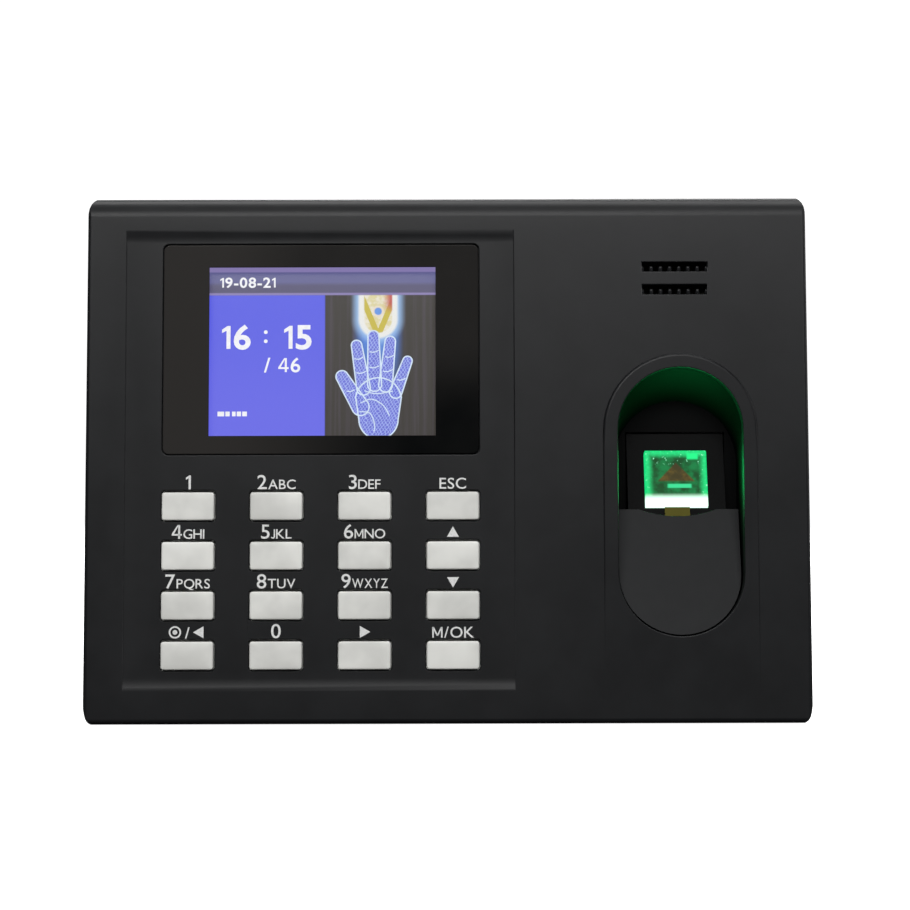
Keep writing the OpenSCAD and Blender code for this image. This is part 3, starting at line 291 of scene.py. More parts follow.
class Paint:  # one material and its nodes
    def __init__(self, name, **look):
        self.material = bpy.data.materials.new(name)
        self.material.use_nodes = True
        self.tree = self.material.node_tree
        self.shader = self.tree.nodes["Principled BSDF"]
        for socket, value in look.items():
            self.feed(socket.replace("_", " "), value)

    def link(self, socket, value):
        if isinstance(value, Wire):
            self.tree.links.new(value.socket, socket)
        elif hasattr(socket.default_value, "__len__") and not hasattr(value, "__len__"):
            socket.default_value = [value] * len(socket.default_value)
        elif hasattr(value, "__len__") and len(value) == 3 and len(socket.default_value) == 4:
            socket.default_value = (*value, 1)
        else:
            socket.default_value = value

    def feed(self, socket, value):
        self.link(self.shader.inputs[socket], value)

    def add(self, kind, settings=None, sockets=(), out=0):
        node = self.tree.nodes.new(kind)
        for key, value in (settings or {}).items():
            if key == "stops":  # (place, colour) pairs of a ramp
                ramp = node.color_ramp
                while len(ramp.elements) < len(value):
                    ramp.elements.new(0.5)
                for stop, (place, colour) in zip(ramp.elements, value):
                    stop.position, stop.color = place, (*colour, 1)
            else:
                setattr(node, key, value)
        given = sockets.items() if isinstance(sockets, dict) else enumerate(sockets)
        for key, value in given:
            self.link(node.inputs[key], value)
        return Wire(self, node.outputs[out])

    def place(self):
        return self.add("ShaderNodeTexCoord", out="Object")

    def axes(self, vector):
        split = self.add("ShaderNodeSeparateXYZ", sockets=(vector,))
        return [Wire(self, split.socket.node.outputs[i]) for i in range(3)]

    def noise(self, size, detail=2.0, roughness=0.5, vector=None, stretch=(1, 1, 1)):
        # soft noise whose grains are about size across, in metres
        vector = vector or self.place()
        if stretch != (1, 1, 1):
            vector = self.add("ShaderNodeMapping", sockets={"Vector": vector, "Scale": stretch})
        return self.add("ShaderNodeTexNoise", sockets={
            "Vector": vector, "Scale": 1 / size, "Detail": detail, "Roughness": roughness})

    def specks(self, pitch, share, radius):
        # round specks in a few of the cells of a point pattern
        cells = dict(Vector=self.place(), Scale=1 / pitch)
        away = self.add("ShaderNodeTexVoronoi", dict(feature="F1"), cells, out="Distance")
        tint = self.add("ShaderNodeTexVoronoi", dict(feature="F1"), cells, out="Color")
        chosen = self.axes(tint)[0] < share
        return (1 - away.ease(radius * 0.6, radius)) * chosen

    def mix(self, factor, a, b):
        return self.add("ShaderNodeMix", dict(data_type="RGBA"), {0: factor, 6: a, 7: b}, out=2)

    def bump(self, height, distance, strength=1.0):
        self.feed("Normal", self.add("ShaderNodeBump", None, {
            "Height": height, "Distance": distance, "Strength": strength}))


def finishOf(slot):
    return tuple(next(m for m in frame["record"]["materials"] if m["slot"] == slot)["base_color"])


def shade(colour, factor):
    return tuple(c * factor for c in colour)


def mouldedPlastic(name, slot, roughness=0.5, grain=0.22 * mm, depth=0.006 * mm, tone=1.0, dust=0.0, specular=0.5):
    # spark-eroded mould texture: fine grain, slow changes of gloss, a few pale specks of dust
    paint = Paint(name, Specular_IOR_Level=specular)
    colour = shade(finishOf(slot), tone)
    fine = paint.noise(grain, 3.0, 0.6)
    slow = paint.noise(14 * mm, 3.0, 0.55)
    rub = paint.noise(3.2 * mm, 4.0, 0.6)
    base = paint.mix(slow.ease(0.3, 0.7), shade(colour, 0.88), shade(colour, 1.12))
    if dust:
        speck = paint.specks(4.1 * mm, dust, 0.045)
        base = paint.mix(speck * 0.5, base, (0.5, 0.5, 0.48))
    paint.feed("Base Color", base)
    paint.feed("Roughness", roughness - 0.05 + slow * 0.06 + rub * 0.05 + (fine - 0.5) * 0.06)
    paint.bump(fine, depth, 0.8)
    return paint.material


def brushedMetal(name, slot, roughness=0.34, along=(1, 1, 0.02), tone=1.0):
    # sheet with a rolled grain along one axis, plus cloudy plating
    paint = Paint(name, Metallic=1.0)
    colour = shade(finishOf(slot), tone)
    lines = paint.noise(0.12 * mm, 4.0, 0.6, stretch=along)
    cloud = paint.noise(6 * mm, 3.0, 0.6)
    paint.feed("Base Color", paint.mix(cloud.ease(0.3, 0.75), shade(colour, 0.8), shade(colour, 1.08)))
    paint.feed("Roughness", roughness - 0.08 + lines * 0.14 + cloud * 0.06)
    paint.bump(lines, 0.002 * mm, 0.5)
    return paint.material


def glossPart(name, slot, roughness=0.25, coat=0.0, size=1.5 * mm, tone=1.0):
    # smooth part with a faint orange-peel surface and uneven gloss
    paint = Paint(name, Coat_Weight=coat)
    colour = shade(finishOf(slot), tone)
    peel = paint.noise(size, 2.0, 0.5)
    paint.feed("Base Color", paint.mix(peel.ease(0.2, 0.8), shade(colour, 0.9), shade(colour, 1.08)))
    paint.feed("Roughness", roughness - 0.03 + peel * 0.08)
    paint.bump(peel, 0.004 * mm, 0.4)
    return paint.material


finishes = {
    "case_black": mouldedPlastic("caseBlack", "case_black", 0.41, tone=0.2, dust=0.012, specular=0.2),
    "niche_black": mouldedPlastic("nicheBlack", "niche_black", 0.5, grain=0.4 * mm, depth=0.002 * mm,
                                  tone=0.1, specular=0.035),
    "rest_grey": mouldedPlastic("restGrey", "rest_grey", 0.5, tone=0.2, specular=0.1),
    "key_grey": mouldedPlastic("keyGrey", "key_grey", 0.48, grain=0.3 * mm, depth=0.003 * mm, tone=1.17),
    "tape_black": mouldedPlastic("tapeBlack", "tape_black", 0.9, grain=0.5 * mm, depth=0.05 * mm),
    "backlight_white": glossPart("backlightWhite", "backlight_white", 0.4),
    "plate_steel": brushedMetal("plateSteel", "plate_steel", 0.38),
    "bright_steel": brushedMetal("brightSteel", "bright_steel", 0.28),
    "bracket_steel": brushedMetal("bracketSteel", "bracket_steel", 0.42),
    "screw_steel": brushedMetal("screwSteel", "screw_steel", 0.3),
    "film_amber": glossPart("filmAmber", "film_amber", 0.3, coat=0.3),
    "film_white": glossPart("filmWhite", "film_white", 0.45),
    "silicone_grey": mouldedPlastic("siliconeGrey", "silicone_grey", 0.62, depth=0.004 * mm),
    "board_green": glossPart("boardGreen", "board_green", 0.3, coat=0.4, size=0.8 * mm),
    "detector_amber": mouldedPlastic("detectorAmber", "detector_amber", 0.5, tone=0.3, specular=0.02),
    "led_white": glossPart("ledWhite", "led_white", 0.3),
    "chip_black": mouldedPlastic("chipBlack", "chip_black", 0.55, grain=0.15 * mm),
    "can_aluminium": brushedMetal("canAluminium", "can_aluminium", 0.35),
    "nylon_cream": glossPart("nylonCream", "nylon_cream", 0.5),
    "cone_paper": mouldedPlastic("conePaper", "cone_paper", 0.9, grain=0.6 * mm, depth=0.06 * mm, tone=0.12,
                                 specular=0.1),
    "wire_red": glossPart("wireRed", "wire_red", 0.4),
    "block_green": mouldedPlastic("blockGreen", "block_green", 0.45, depth=0.003 * mm),
}

slotOf = {}
for name, node in nodes.items():
    slotOf[name] = node.data.materials[0].name.split(".")[0] if node.data.materials else "case_black"
    if slotOf[name] in finishes:
        node.data.materials.clear()
        node.data.materials.append(finishes[slotOf[name]])
print("stage: finishes made")

# ---- covers, plate, niche ----
edges = dict(cover=0.3 * mm, plate=0.25 * mm, liner=0.15 * mm, rest=0.3 * mm)
rim = dict(x=58.9 * mm, archV=7.0 * mm, outer=19.5 * mm, roll=0.85 * mm, share=0.75)


def rimRoll(x, v, w):
    # a wide roll along the outer edge of the raised arch, as far as its height above the face allows
    away = np.where(v > rim["archV"], np.hypot(x - rim["x"], v - rim["archV"]), np.abs(x - rim["x"]))
    onEdge = (np.abs(away - rim["outer"]) < 0.15 * mm) & (w > 0.3 * mm) & (w < 2 * mm)
    return np.where(onEdge, np.minimum(rim["roll"], w * rim["share"]), 0.0)


soften("front_cover", "frontCover", finishes["case_black"], edges["cover"], 3, wider=rimRoll)
for node, name, slot, edge, steps in (("wall_plate", "wallPlate", "plate_steel", "plate", 2),
                                      ("niche_liner", "nicheLiner", "niche_black", "liner", 2),
                                      ("finger_rest", "fingerRest", "rest_grey", "rest", 3)):
    soften(node, name, finishes[slot], edges[edge], steps)
print("stage: covers made")

# ---- keys ----
keyCap = dict(roll=0.42 * mm, crown=0.06 * mm, corner=0.7 * mm, flange=0.8 * mm, flangeT=0.8 * mm)
keyNames = [n for n in nodes if n.startswith("key_")]
for name in keyNames:
    middle, width, height, thick = plateOf(name)
    x, v, w = faceSpot(middle)
    halfW, halfH = width / 2 - keyCap["flange"], height / 2 - keyCap["flange"]
    back, top = w - thick / 2, w + thick / 2 - keyCap["crown"]
    shoulder = back + keyCap["flangeT"]
    flange = [(-keyCap["flange"], back), (-keyCap["flange"], shoulder), (0.0, shoulder)]
    cap = edgeProfile(shoulder, top, keyCap["roll"], 6, keyCap["crown"], halfH * 0.98)
    piece = meshPiece(name + "_cap", *loftRings(softPlate(x, v, halfW, halfH, keyCap["corner"], flange + cap)),
                      finishes["key_grey"], name, "key_grey")
    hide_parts(name)
print("stage: keys made,", len(keyNames))

# ---- silicone mat: its sheet, and a dome under each key ----
dome = dict(sheetT=1.0 * mm, foot=3.3 * mm, tip=2.3 * mm, clear=0.1 * mm, cut=0.02 * mm, sides=28)


def nodePoints(name):
    points = np.empty(len(nodes[name].data.vertices) * 3)
    nodes[name].data.vertices.foreach_get("co", points)
    return points.reshape(-1, 3)


def keypadSheet():
    # the node's own surface, cut just above the sheet so that the domes come away
    levels = faceSpot(nodePoints("keypad_mat"))[2]
    front = levels.min() + dome["sheetT"]
    shape = bmesh.new()
    shape.from_mesh(nodes["keypad_mat"].data)
    bmesh.ops.remove_doubles(shape, verts=shape.verts, dist=0.003 * mm)
    bmesh.ops.bisect_plane(shape, geom=shape.verts[:] + shape.edges[:] + shape.faces[:], dist=1e-7,
                           plane_co=onFace(0, 0, front + dome["cut"]), plane_no=outward, clear_outer=True)
    bmesh.ops.holes_fill(shape, edges=[e for e in shape.edges if e.is_boundary], sides=0)
    mesh = bpy.data.meshes.new("keypadSheet")
    shape.to_mesh(mesh)
    shape.free()
    mesh.materials.append(finishes["silicone_grey"])
    sheet = bpy.data.objects.new("keypadSheet", mesh)
    bpy.context.scene.collection.objects.link(sheet)
    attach(sheet, case)
    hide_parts("keypad_mat")
    return front + 0.025 * mm, levels.max()


def keypadDomes(foot, top):
    # rings round the key's middle, from the wide foot to the flat tip
    a = np.linspace(0, 2 * math.pi, dome["sides"], endpoint=False)
    travel = max(abs(v) for v in findJoint(slope["pressJoint"])["range_m"])
    keep = (top - foot - travel - dome["clear"]) / (top - foot)
    steps = [(0.0, 0.0), (0.12, 0.25), (0.55, 0.55), (0.85, 0.85), (1.0, 0.96), (1.12, 1.0)]
    for name in keyNames:
        x, v, _ = faceSpot(plateOf(name)[0])
        rings = [onFace(x + r * np.cos(a), v + r * np.sin(a), foot + (top - foot) * rise)
                 for r, rise in ((dome["foot"] + (dome["tip"] - dome["foot"]) * s, h) for s, h in steps)]
        piece = meshPiece(name + "_dome", *loftRings(rings), finishes["silicone_grey"], case, "silicone_grey")
        tuple(onFace(x, v, foot))
        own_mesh(piece)


keypadDomes(*keypadSheet())
print("stage: mat made")

# ---- screen: clear pane with a printed back, over the lit display ----
def tint(*levels):
    # display levels 0..255 to linear light: ((c/255 + 0.055)/1.055)^2.4
    return tuple(((c / 255 + 0.055) / 1.055) ** 2.4 for c in levels)


def within(value, start, end, soft=0.004):
    # 1 between start and end, with a short ramp on both sides
    return value.ease(start - soft, start + soft) * (1 - value.ease(end - soft, end + soft))


screen = dict(viewW=57.6 * mm, viewH=43.2 * mm, right=0.3 * mm, down=0.5 * mm, corner=1.6 * mm,
              edge=0.25 * mm, gap=0.02 * mm, split=0.509, beam=0.745, glow=0.93)
lensX, lensV, lensMid = faceSpot(lensMiddle)
lensBack, lensFront = lensMid - lensT / 2, lensMid + lensT / 2
viewX, viewV = lensX + screen["right"], lensV - screen["down"]


def screenPane():
    # one pane: dark print outside the window, clear inside it
    paint = Paint("paneGloss", Roughness=0.12, Specular_IOR_Level=0.1)
    x, v, _ = paint.axes(paint.add("ShaderNodeTexCoord", out="UV"))
    smear = paint.noise(14 * mm, 3.0, 0.6)
    grain = paint.noise(0.3 * mm, 2.0)
    # painted sheen: the dark print is painted lighter and warmer towards the left and the top, where the light falls
    # on the pane
    warmLight = (1 - x.ease(-30, 24)).high(v.ease(-16, 4) * 0.55)
    ink = paint.mix(smear.ease(0.3, 0.75), (0.0030, 0.0034, 0.0036), (0.0050, 0.0052, 0.0052))
    paint.feed("Base Color", paint.mix(warmLight, ink, (0.030, 0.028, 0.0265)))
    paint.feed("Roughness", 0.1 + smear * 0.08 + grain * 0.02)
    halfW, halfH = screen["viewW"] / 2 / mm, screen["viewH"] / 2 / mm
    inside = within(x, -halfW, halfW, 0.04) * within(v, -halfH, halfH, 0.04)
    paint.feed("Alpha", 1 - inside * 0.94)
    profile = edgeProfile(lensBack, lensFront, screen["edge"], 4)
    points, faces = loftRings(softPlate(lensX, lensV, lensW / 2, lensH / 2, screen["corner"], profile))
    px, pv, _ = faceSpot(points)
    uv = np.stack([px - viewX, pv - viewV], -1) / mm
    rolled = np.arange(len(faces)) < (len(profile) - 1) * 32
    pane = meshPiece("screenPane", points, faces, paint.material, case, smooth=rolled, uv=uv)
    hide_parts("screen_lens")


def displayPaint():
    paint = Paint("displayPicture", Base_Color=(0.01, 0.01, 0.01), Roughness=0.4, Emission_Strength=screen["glow"])
    u, v, _ = paint.axes(paint.add("ShaderNodeTexCoord", out="UV"))
    inHeader, inBlock = v.ease(0.838, 0.846), 1 - u.ease(screen["split"] - 0.003, screen["split"] + 0.003)
    # header bar: lighter above its middle, with a bright line along both long edges
    bar = paint.mix(v.ease(0.895, 0.925), tint(90, 86, 122), tint(104, 104, 156))
    lines = (v.ease(0.975, 0.985) + within(v, 0.842, 0.856, 0.003)).low(1.0)
    bar = paint.mix(lines, bar, tint(146, 134, 190))
    # blue block, a little paler low down
    block = paint.mix(v.ease(0.0, 0.8), tint(108, 110, 248), tint(92, 98, 244))
    # dark side: warm black with faint upright stripes, a blue beam and a warm light at its top
    stripes = paint.noise(0.02, 2.0, 0.6, vector=paint.add("ShaderNodeCombineXYZ", sockets=(u, v * 0.02, 0.0)))
    dark = paint.mix(stripes.ease(0.4, 0.75), tint(48, 43, 36), tint(66, 58, 66))
    x = (u - screen["beam"]) * (screen["viewW"] / screen["viewH"])
    beam = (1 - abs(x).ease(0.07, 0.16)) * v.ease(0.2, 0.62)
    dark = paint.mix(beam, dark, tint(84, 140, 236))
    dark = paint.mix((1 - abs(x + 0.01).ease(0.0, 0.05)) * beam * 0.5, dark, tint(142, 190, 250))
    y = (v - 0.70).low(0.0)
    far = root(x * x + y * y)
    dark = paint.mix(1 - far.ease(0.10, 0.17), dark, tint(176, 214, 255))
    dark = paint.mix(1 - far.ease(0.105, 0.125), dark, tint(252, 252, 248))
    flame = paint.noise(0.05, 3.0, 0.6, vector=paint.add("ShaderNodeTexCoord", out="UV"))
    arms = (abs(abs(x) - (v - 0.6) * 0.42) < 0.018)
    warmLight = paint.mix(flame.ease(0.42, 0.6), tint(250, 244, 226), tint(236, 226, 170))
    warmLight = paint.mix(arms, warmLight, tint(214, 196, 70))
    warmLight = paint.mix((x.ease(0.02, 0.08) * v.ease(0.72, 0.8)), warmLight, tint(206, 84, 78))
    dark = paint.mix(1 - far.ease(0.078, 0.088), dark, warmLight)
    hole = root(x * x + (v - 0.745) * (v - 0.745))
    dark = paint.mix(1 - hole.ease(0.028, 0.04), dark, tint(250, 236, 214))
    dark = paint.mix(1 - hole.ease(0.018, 0.026), dark, tint(104, 160, 244))
    picture = paint.mix(inHeader, paint.mix(inBlock, dark, block), bar)
    # the lit rows and columns of the panel, at its own pitch
    cells = fraction(u * 320)
    picture = paint.mix(cells.ease(0.7, 0.95) * 0.12, picture, (0, 0, 0))
    paint.feed("Emission Color", picture)
    return paint.material


glassMiddle, glassW, glassH, glassT = plateOf("lcd_glass")
glassLevel = faceSpot(glassMiddle)[2] + glassT / 2


def displayPanel():
    rings = softPlate(lensX, lensV, glassW / 2, glassH / 2, 0.5 * mm,
                      [(0.0, glassLevel - glassT), (0.0, glassLevel - 0.1 * mm), (0.1 * mm, glassLevel)])
    points, faces = loftRings(rings)
    x, v, _ = faceSpot(points)
    uv = np.stack([(x - viewX) / screen["viewW"] + 0.5, (v - viewV) / screen["viewH"] + 0.5], -1)
    panel = meshPiece("displayPanel", points, faces, displayPaint(), case, smooth=False, uv=uv)
    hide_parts("lcd_glass")


# ---- flat shapes: lettering, marks and drawn lines ----
def letterShape(text, bold=0.0):
    # the built-in font's outline of one letter, on its base line
    curve = bpy.data.curves.new("letters", "FONT")
    curve.body, curve.size, curve.offset, curve.resolution_u = text, 1.0, bold, 4
    item = bpy.data.objects.new("letters", curve)
    bpy.context.scene.collection.objects.link(item)
    mesh = bpy.data.meshes.new_from_object(item.evaluated_get(bpy.context.evaluated_depsgraph_get()))
    flat = np.empty(len(mesh.vertices) * 3)
    mesh.vertices.foreach_get("co", flat)
    faces = [list(p.vertices) for p in mesh.polygons]
    bpy.data.objects.remove(item)
    bpy.data.curves.remove(curve)
    bpy.data.meshes.remove(mesh)
    return flat.reshape(-1, 3)[:, :2], faces


capHeight = np.ptp(letterShape("H")[0][:, 1])


def plain(*outlines):
    # one letter from straight-sided outlines, whose tops are at 1
    points = np.concatenate([np.array(o, float) for o in outlines])
    ends = np.cumsum([0] + [len(o) for o in outlines])
    return points, [list(range(a, b)) for a, b in zip(ends[:-1], ends[1:])]


ownLetters = {  # letters that the built-in font draws with a tail, without a flag or too full
    "1": plain([[0.2, 0], [0.36, 0], [0.36, 1], [0.24, 1], [0.02, 0.84], [0.02, 0.69], [0.2, 0.79]]),
    "4": plain([[0.44, 0], [0.58, 0], [0.58, 1], [0.44, 1]], [[0, 0.22], [0.7, 0.22], [0.7, 0.35], [0, 0.35]],
               [[0, 0.35], [0.16, 0.35], [0.5, 1], [0.4, 1]]),
    "J": plain([[0.28, 0.2], [0.42, 0.2], [0.42, 1], [0.28, 1]], [[0.0, 0.1], [0.1, 0], [0.32, 0], [0.42, 0.2],
               [0.28, 0.2], [0.24, 0.13], [0.12, 0.13], [0.04, 0.2]]),
    "M": plain([[0, 0], [0.14, 0], [0.14, 1], [0, 1]], [[0.78, 0], [0.92, 0], [0.92, 1], [0.78, 1]],
               [[0.0, 1], [0.39, 0.18], [0.53, 0.18], [0.15, 1]], [[0.39, 0.18], [0.53, 0.18], [0.92, 1], [0.77, 1]]),
}


def letters(text, tall, x, v, bold=0.012, align=0.0, squeeze=1.0, track=0.14, gap=0.42):
    # letters set one after another, a one with a flag; align 0 centres the word on x, -1 starts it there
    points, faces, count, pen = [], [], 0, 0.0
    for letter in text:
        if letter == " ":
            pen += gap
            continue
        if letter in ownLetters:
            outline, drawn = ownLetters[letter]
        else:
            outline, drawn = letterShape(letter, bold)
            outline = np.maximum(outline / capHeight, [-9, -0.17])
        outline = outline * [squeeze, 1.0]
        left, right = outline[:, 0].min(), outline[:, 0].max()
        points.append(outline + [pen - left, 0.0])
        faces += [[i + count for i in face] for face in drawn]
        count += len(outline)
        pen += right - left + track
    wide = pen - track
    start = {0.0: -wide / 2, -1.0: 0.0}[float(align)]
    return (np.concatenate(points) + [start, 0.0]) * tall + [x, v], faces, wide * tall


def flatPiece(name, shapes, level, material, body, slot=None):
    points, faces, count = [], [], 0
    for shape in shapes:
        points.append(shape[0])
        faces += [[i + count for i in face] for face in shape[1]]
        count += len(shape[0])
    flat = np.concatenate(points)
    for face in faces:  # outwards is anticlockwise: half the sum of x*next v - next x*v is above zero
        (x, v), (nextX, nextV) = flat[face].T, np.roll(flat[face], -1, 0).T
        if (x * nextV - nextX * v).sum() < 0:
            face.reverse()
    return meshPiece(name, onFace(flat[:, 0], flat[:, 1], level), faces, material, body, slot, smooth=False,
                     uv=flat / mm)


def smoothLine(points, closed=True, per=6):
    # through every point: p = ((2b) + (c-a)t + (2a-5b+4c-d)t^2 + (3b-a-3c+d)t^3) / 2
    p = np.asarray(points, float)
    if not closed:
        p = np.concatenate([p[:1], p, p[-1:]])
    a, b, c, d = (np.roll(p, s, 0) for s in (1, 0, -1, -2))
    t = np.linspace(0, 1, per, endpoint=False)[None, :, None]
    a, b, c, d = (q[:, None] for q in (a, b, c, d))
    line = (2 * b + (c - a) * t + (2 * a - 5 * b + 4 * c - d) * t**2 + (3 * b - a - 3 * c + d) * t**3) / 2
    return line.reshape(-1, 2) if closed else line[1:-2].reshape(-1, 2)


def ribbon(line, width, closed=True):
    # the line moved half a width to both sides of its own direction
    ahead, behind = (np.roll(line, -1, 0), np.roll(line, 1, 0)) if closed else (
        np.concatenate([line[1:], line[-1:]]), np.concatenate([line[:1], line[:-1]]))
    way = ahead - behind
    way /= np.linalg.norm(way, axis=1, keepdims=True) + 1e-12
    side = np.stack([-way[:, 1], way[:, 0]], -1) * width / 2
    return np.concatenate([line + side, line - side]), bandFaces(2, len(line), closed).tolist()


def glowPaint(name, colour, strength=1.0, line=None):
    paint = Paint(name, Base_Color=(0.02, 0.02, 0.02), Emission_Strength=strength)
    u, v, _ = paint.axes(paint.add("ShaderNodeTexCoord", out="UV"))
    soft = paint.noise(1.6, 2.0, 0.5, vector=paint.add("ShaderNodeTexCoord", out="UV"))
    shown = paint.mix(soft.ease(0.3, 0.7), shade(colour, 0.9), colour)
    if line:
        # two families of fine lines, bent by the noise: |fract((u + v + soft)/pitch) - 1/2| small
        for lean in (0.55, -0.9):
            wave = (u + v * lean + soft * 1.4) * (1 / line["pitch"])
            near = abs(fraction(wave) - 0.5)
            shown = paint.mix((1 - near.ease(0.06, 0.2)) * line["amount"], shown, line["colour"])
    paint.feed("Emission Color", shown)
    return paint.material


def fingerShape(root, tip, rootR, tipR):
    # two half circles, one round each end: end + radius * (cos, sin), in millimetres from the picture's middle
    root, tip = np.array(root, float), np.array(tip, float)
    along = (tip - root) / np.linalg.norm(tip - root)
    side = np.array([-along[1], along[0]])
    a = np.linspace(-math.pi / 2, 3 * math.pi / 2, 40, endpoint=False)[:, None]
    ahead = np.cos(a) > 1e-9
    outline = np.where(ahead, tip, root) + np.where(ahead, tipR, rootR) * (np.cos(a) * along + np.sin(a) * side)
    return outline * mm + [viewX, viewV]


def wordBar(x0, v0, x, wide, low=5.3, high=6.5):
    # a plain bar in place of a small word
    return np.array([[x, low], [x + wide, low], [x + wide, high], [x, high]]) * mm + [x0, v0], [[0, 1, 2, 3]]


def displayDrawing():
    white = glowPaint("displayWhite", tint(250, 250, 255), 1.05)
    x0, v0 = viewX - screen["viewW"] / 2, viewV - screen["viewH"] / 2
    words = [
        letters("19-08-21", 2.5 * mm, x0 + 2.5 * mm, v0 + 38.4 * mm, 0.022, -1, 1.1, 0.13),
        letters("16", 5.9 * mm, x0 + 6.7 * mm, v0 + 22.6 * mm, 0.022, 0, 1.08),
        letters(":", 4.6 * mm, x0 + 14.2 * mm, v0 + 24.2 * mm, 0.012),
        letters("15", 5.9 * mm, x0 + 22.4 * mm, v0 + 22.6 * mm, 0.022, 0, 1.08),
        letters("/ 46", 3.6 * mm, x0 + 18.4 * mm, v0 + 16.6 * mm, 0.012, 0, 1.05),
    ]
    words += [wordBar(x0, v0, x, wide) for x, wide in ((2.0, 1.7), (4.0, 1.1), (5.7, 0.9), (6.9, 1.1), (8.3, 1.2))]
    flatPiece("displayDigits", words, glassLevel + 2 * screen["gap"], white, case)
    # a plain open hand: a palm and five tapered fingers, filled with a fine grid and outlined
    palm = fingerShape((14.2, -17.2), (14.2, -12.4), 5.0, 5.9)
    fingers = [fingerShape(*f) for f in (
        ((9.6, -14.0), (4.9, -6.2), 2.2, 1.55), ((10.4, -9.2), (8.6, 1.8), 1.75, 1.35),
        ((13.2, -8.2), (12.9, 4.2), 1.8, 1.4), ((16.0, -8.4), (17.2, 2.8), 1.75, 1.35),
        ((18.6, -10.2), (21.6, -2.2), 1.6, 1.2))]
    fill = glowPaint("handFill", tint(104, 112, 224), 1.0,
                     dict(pitch=0.85, amount=0.7, colour=tint(180, 196, 252)))
    flatPiece("handFill", [(c, [list(range(len(c)))]) for c in [palm] + fingers],
              glassLevel + screen["gap"], fill, case)
    creases = [[(9.6, -13.0), (12.4, -12.0), (15.4, -13.6), (17.2, -16.6)],
               [(10.6, -9.8), (13.6, -10.6), (18.4, -9.9)],
               [(9.4, -15.2), (12.0, -15.6), (13.2, -18.4), (13.0, -20.4)]]
    joints = [[(b[0] + a * 0.9, b[1] + 0.12 * a), (b[0], b[1] - 0.35), (b[0] - a * 0.9, b[1] - 0.12 * a)]
              for a, b in ((1.45, (9.7, -5.0)), (1.3, (9.1, -1.4)), (1.5, (13.1, -3.6)), (1.4, (13.0, 0.4)),
                           (1.45, (16.5, -4.6)), (1.3, (16.9, -0.9)), (1.3, (19.9, -6.8)), (1.2, (7.0, -9.7)))]
    line = glowPaint("handLine", tint(218, 236, 255), 1.05)
    shapes = [ribbon(c, 0.34 * mm) for c in [palm] + fingers]
    shapes += [ribbon(smoothLine(np.array(c) * mm + [viewX, viewV], closed=False), 0.26 * mm, False)
               for c in creases + joints]
    flatPiece("handLines", shapes, glassLevel + 2 * screen["gap"], line, case)


screenPane()
displayPanel()
displayDrawing()
print("stage: screen made")

# ---- key legends ----
legend = dict(digit=3.5 * mm, letter=2.35 * mm, word=2.7 * mm, gap=0.85 * mm, level=-0.585 * mm, space=0.35 * mm)
legendText = {
    "key_1": ("1", ""), "key_2": ("2", "ABC"), "key_3": ("3", "DEF"), "key_4": ("4", "GHI"), "key_5": ("5", "JKL"),
    "key_6": ("6", "MNO"), "key_7": ("7", "PQRS"), "key_8": ("8", "TUV"), "key_9": ("9", "WXYZ"), "key_0": ("0", ""),
    "key_esc": ("", "ESC"), "key_menu_ok": ("", "M/OK"),
}


def triangle(x, v, half, turn):
    a = math.radians(turn) + np.array([0, 2, 4]) * math.pi / 3
    return np.stack([x + half * np.cos(a), v + half * np.sin(a)], -1), [[0, 1, 2]]


def keyLegends():
    shapes = []
    for name in keyNames:
        middle, _, height, _ = plateOf(name)
        x, v, _ = faceSpot(middle)
        base = v + height / 2 - keyCap["flange"] + legend["gap"]
        if name in ("key_up", "key_down"):
            shapes.append(triangle(x, base + (1.2 if name == "key_up" else 1.8) * mm, 1.75 * mm,
                                   90 if name == "key_up" else -90))
        elif name == "key_right":
            shapes.append(triangle(x - 0.3 * mm, base + 1.5 * mm, 1.75 * mm, 0))
        elif name == "key_left_power":
            shapes.append(ribbon(smoothLine(np.stack(roundedRing(1.35 * mm, 1.35 * mm, 1.35 * mm), -1), per=2)
                                 + [x - 3.1 * mm, base + 1.5 * mm], 0.42 * mm))
            dot = np.stack(roundedRing(0.6 * mm, 0.6 * mm, 0.6 * mm), -1) + [x - 3.1 * mm, base + 1.5 * mm]
            shapes.append((dot, [list(range(len(dot)))]))
            shapes.append(letters("/", legend["word"], x, base))
            shapes.append(triangle(x + 3.2 * mm, base + 1.5 * mm, 1.75 * mm, 180))
        else:
            digit, word = legendText[name]
            if digit and word:
                big = letters(digit, legend["digit"], 0, base, 0.006, -1, 1.05)
                small = letters(word, legend["letter"], 0, base, 0.006, -1, 0.78 if "W" in word else 1.04, 0.11)
                start = x - (big[2] + legend["space"] + small[2]) / 2
                shapes.append((big[0] + [start, 0], big[1]))
                shapes.append((small[0] + [start + big[2] + legend["space"], 0], small[1]))
            else:
                tall = legend["digit"] if digit else legend["word"]
                shapes.append(letters(digit or word, tall, x, base, 0.006, 0, 1.05))
    paint = Paint("legendWhite")
    worn = paint.noise(0.5 * mm, 3.0, 0.6)
    paint.feed("Base Color", paint.mix(worn.ease(0.25, 0.6), (0.6, 0.61, 0.6), (0.78, 0.78, 0.77)))
    paint.feed("Roughness", 0.45 + worn * 0.2)
    flatPiece("keyLegends", shapes, legend["level"], paint.material, case)


keyLegends()
print("stage: legends made")

# ---- lit prism ----
prism = dict(strength=1.6, edge=0.075, glow=0.017, roll=0.3 * mm, lampW=14 * mm, lampH=12 * mm, lampGap=0.4 * mm)


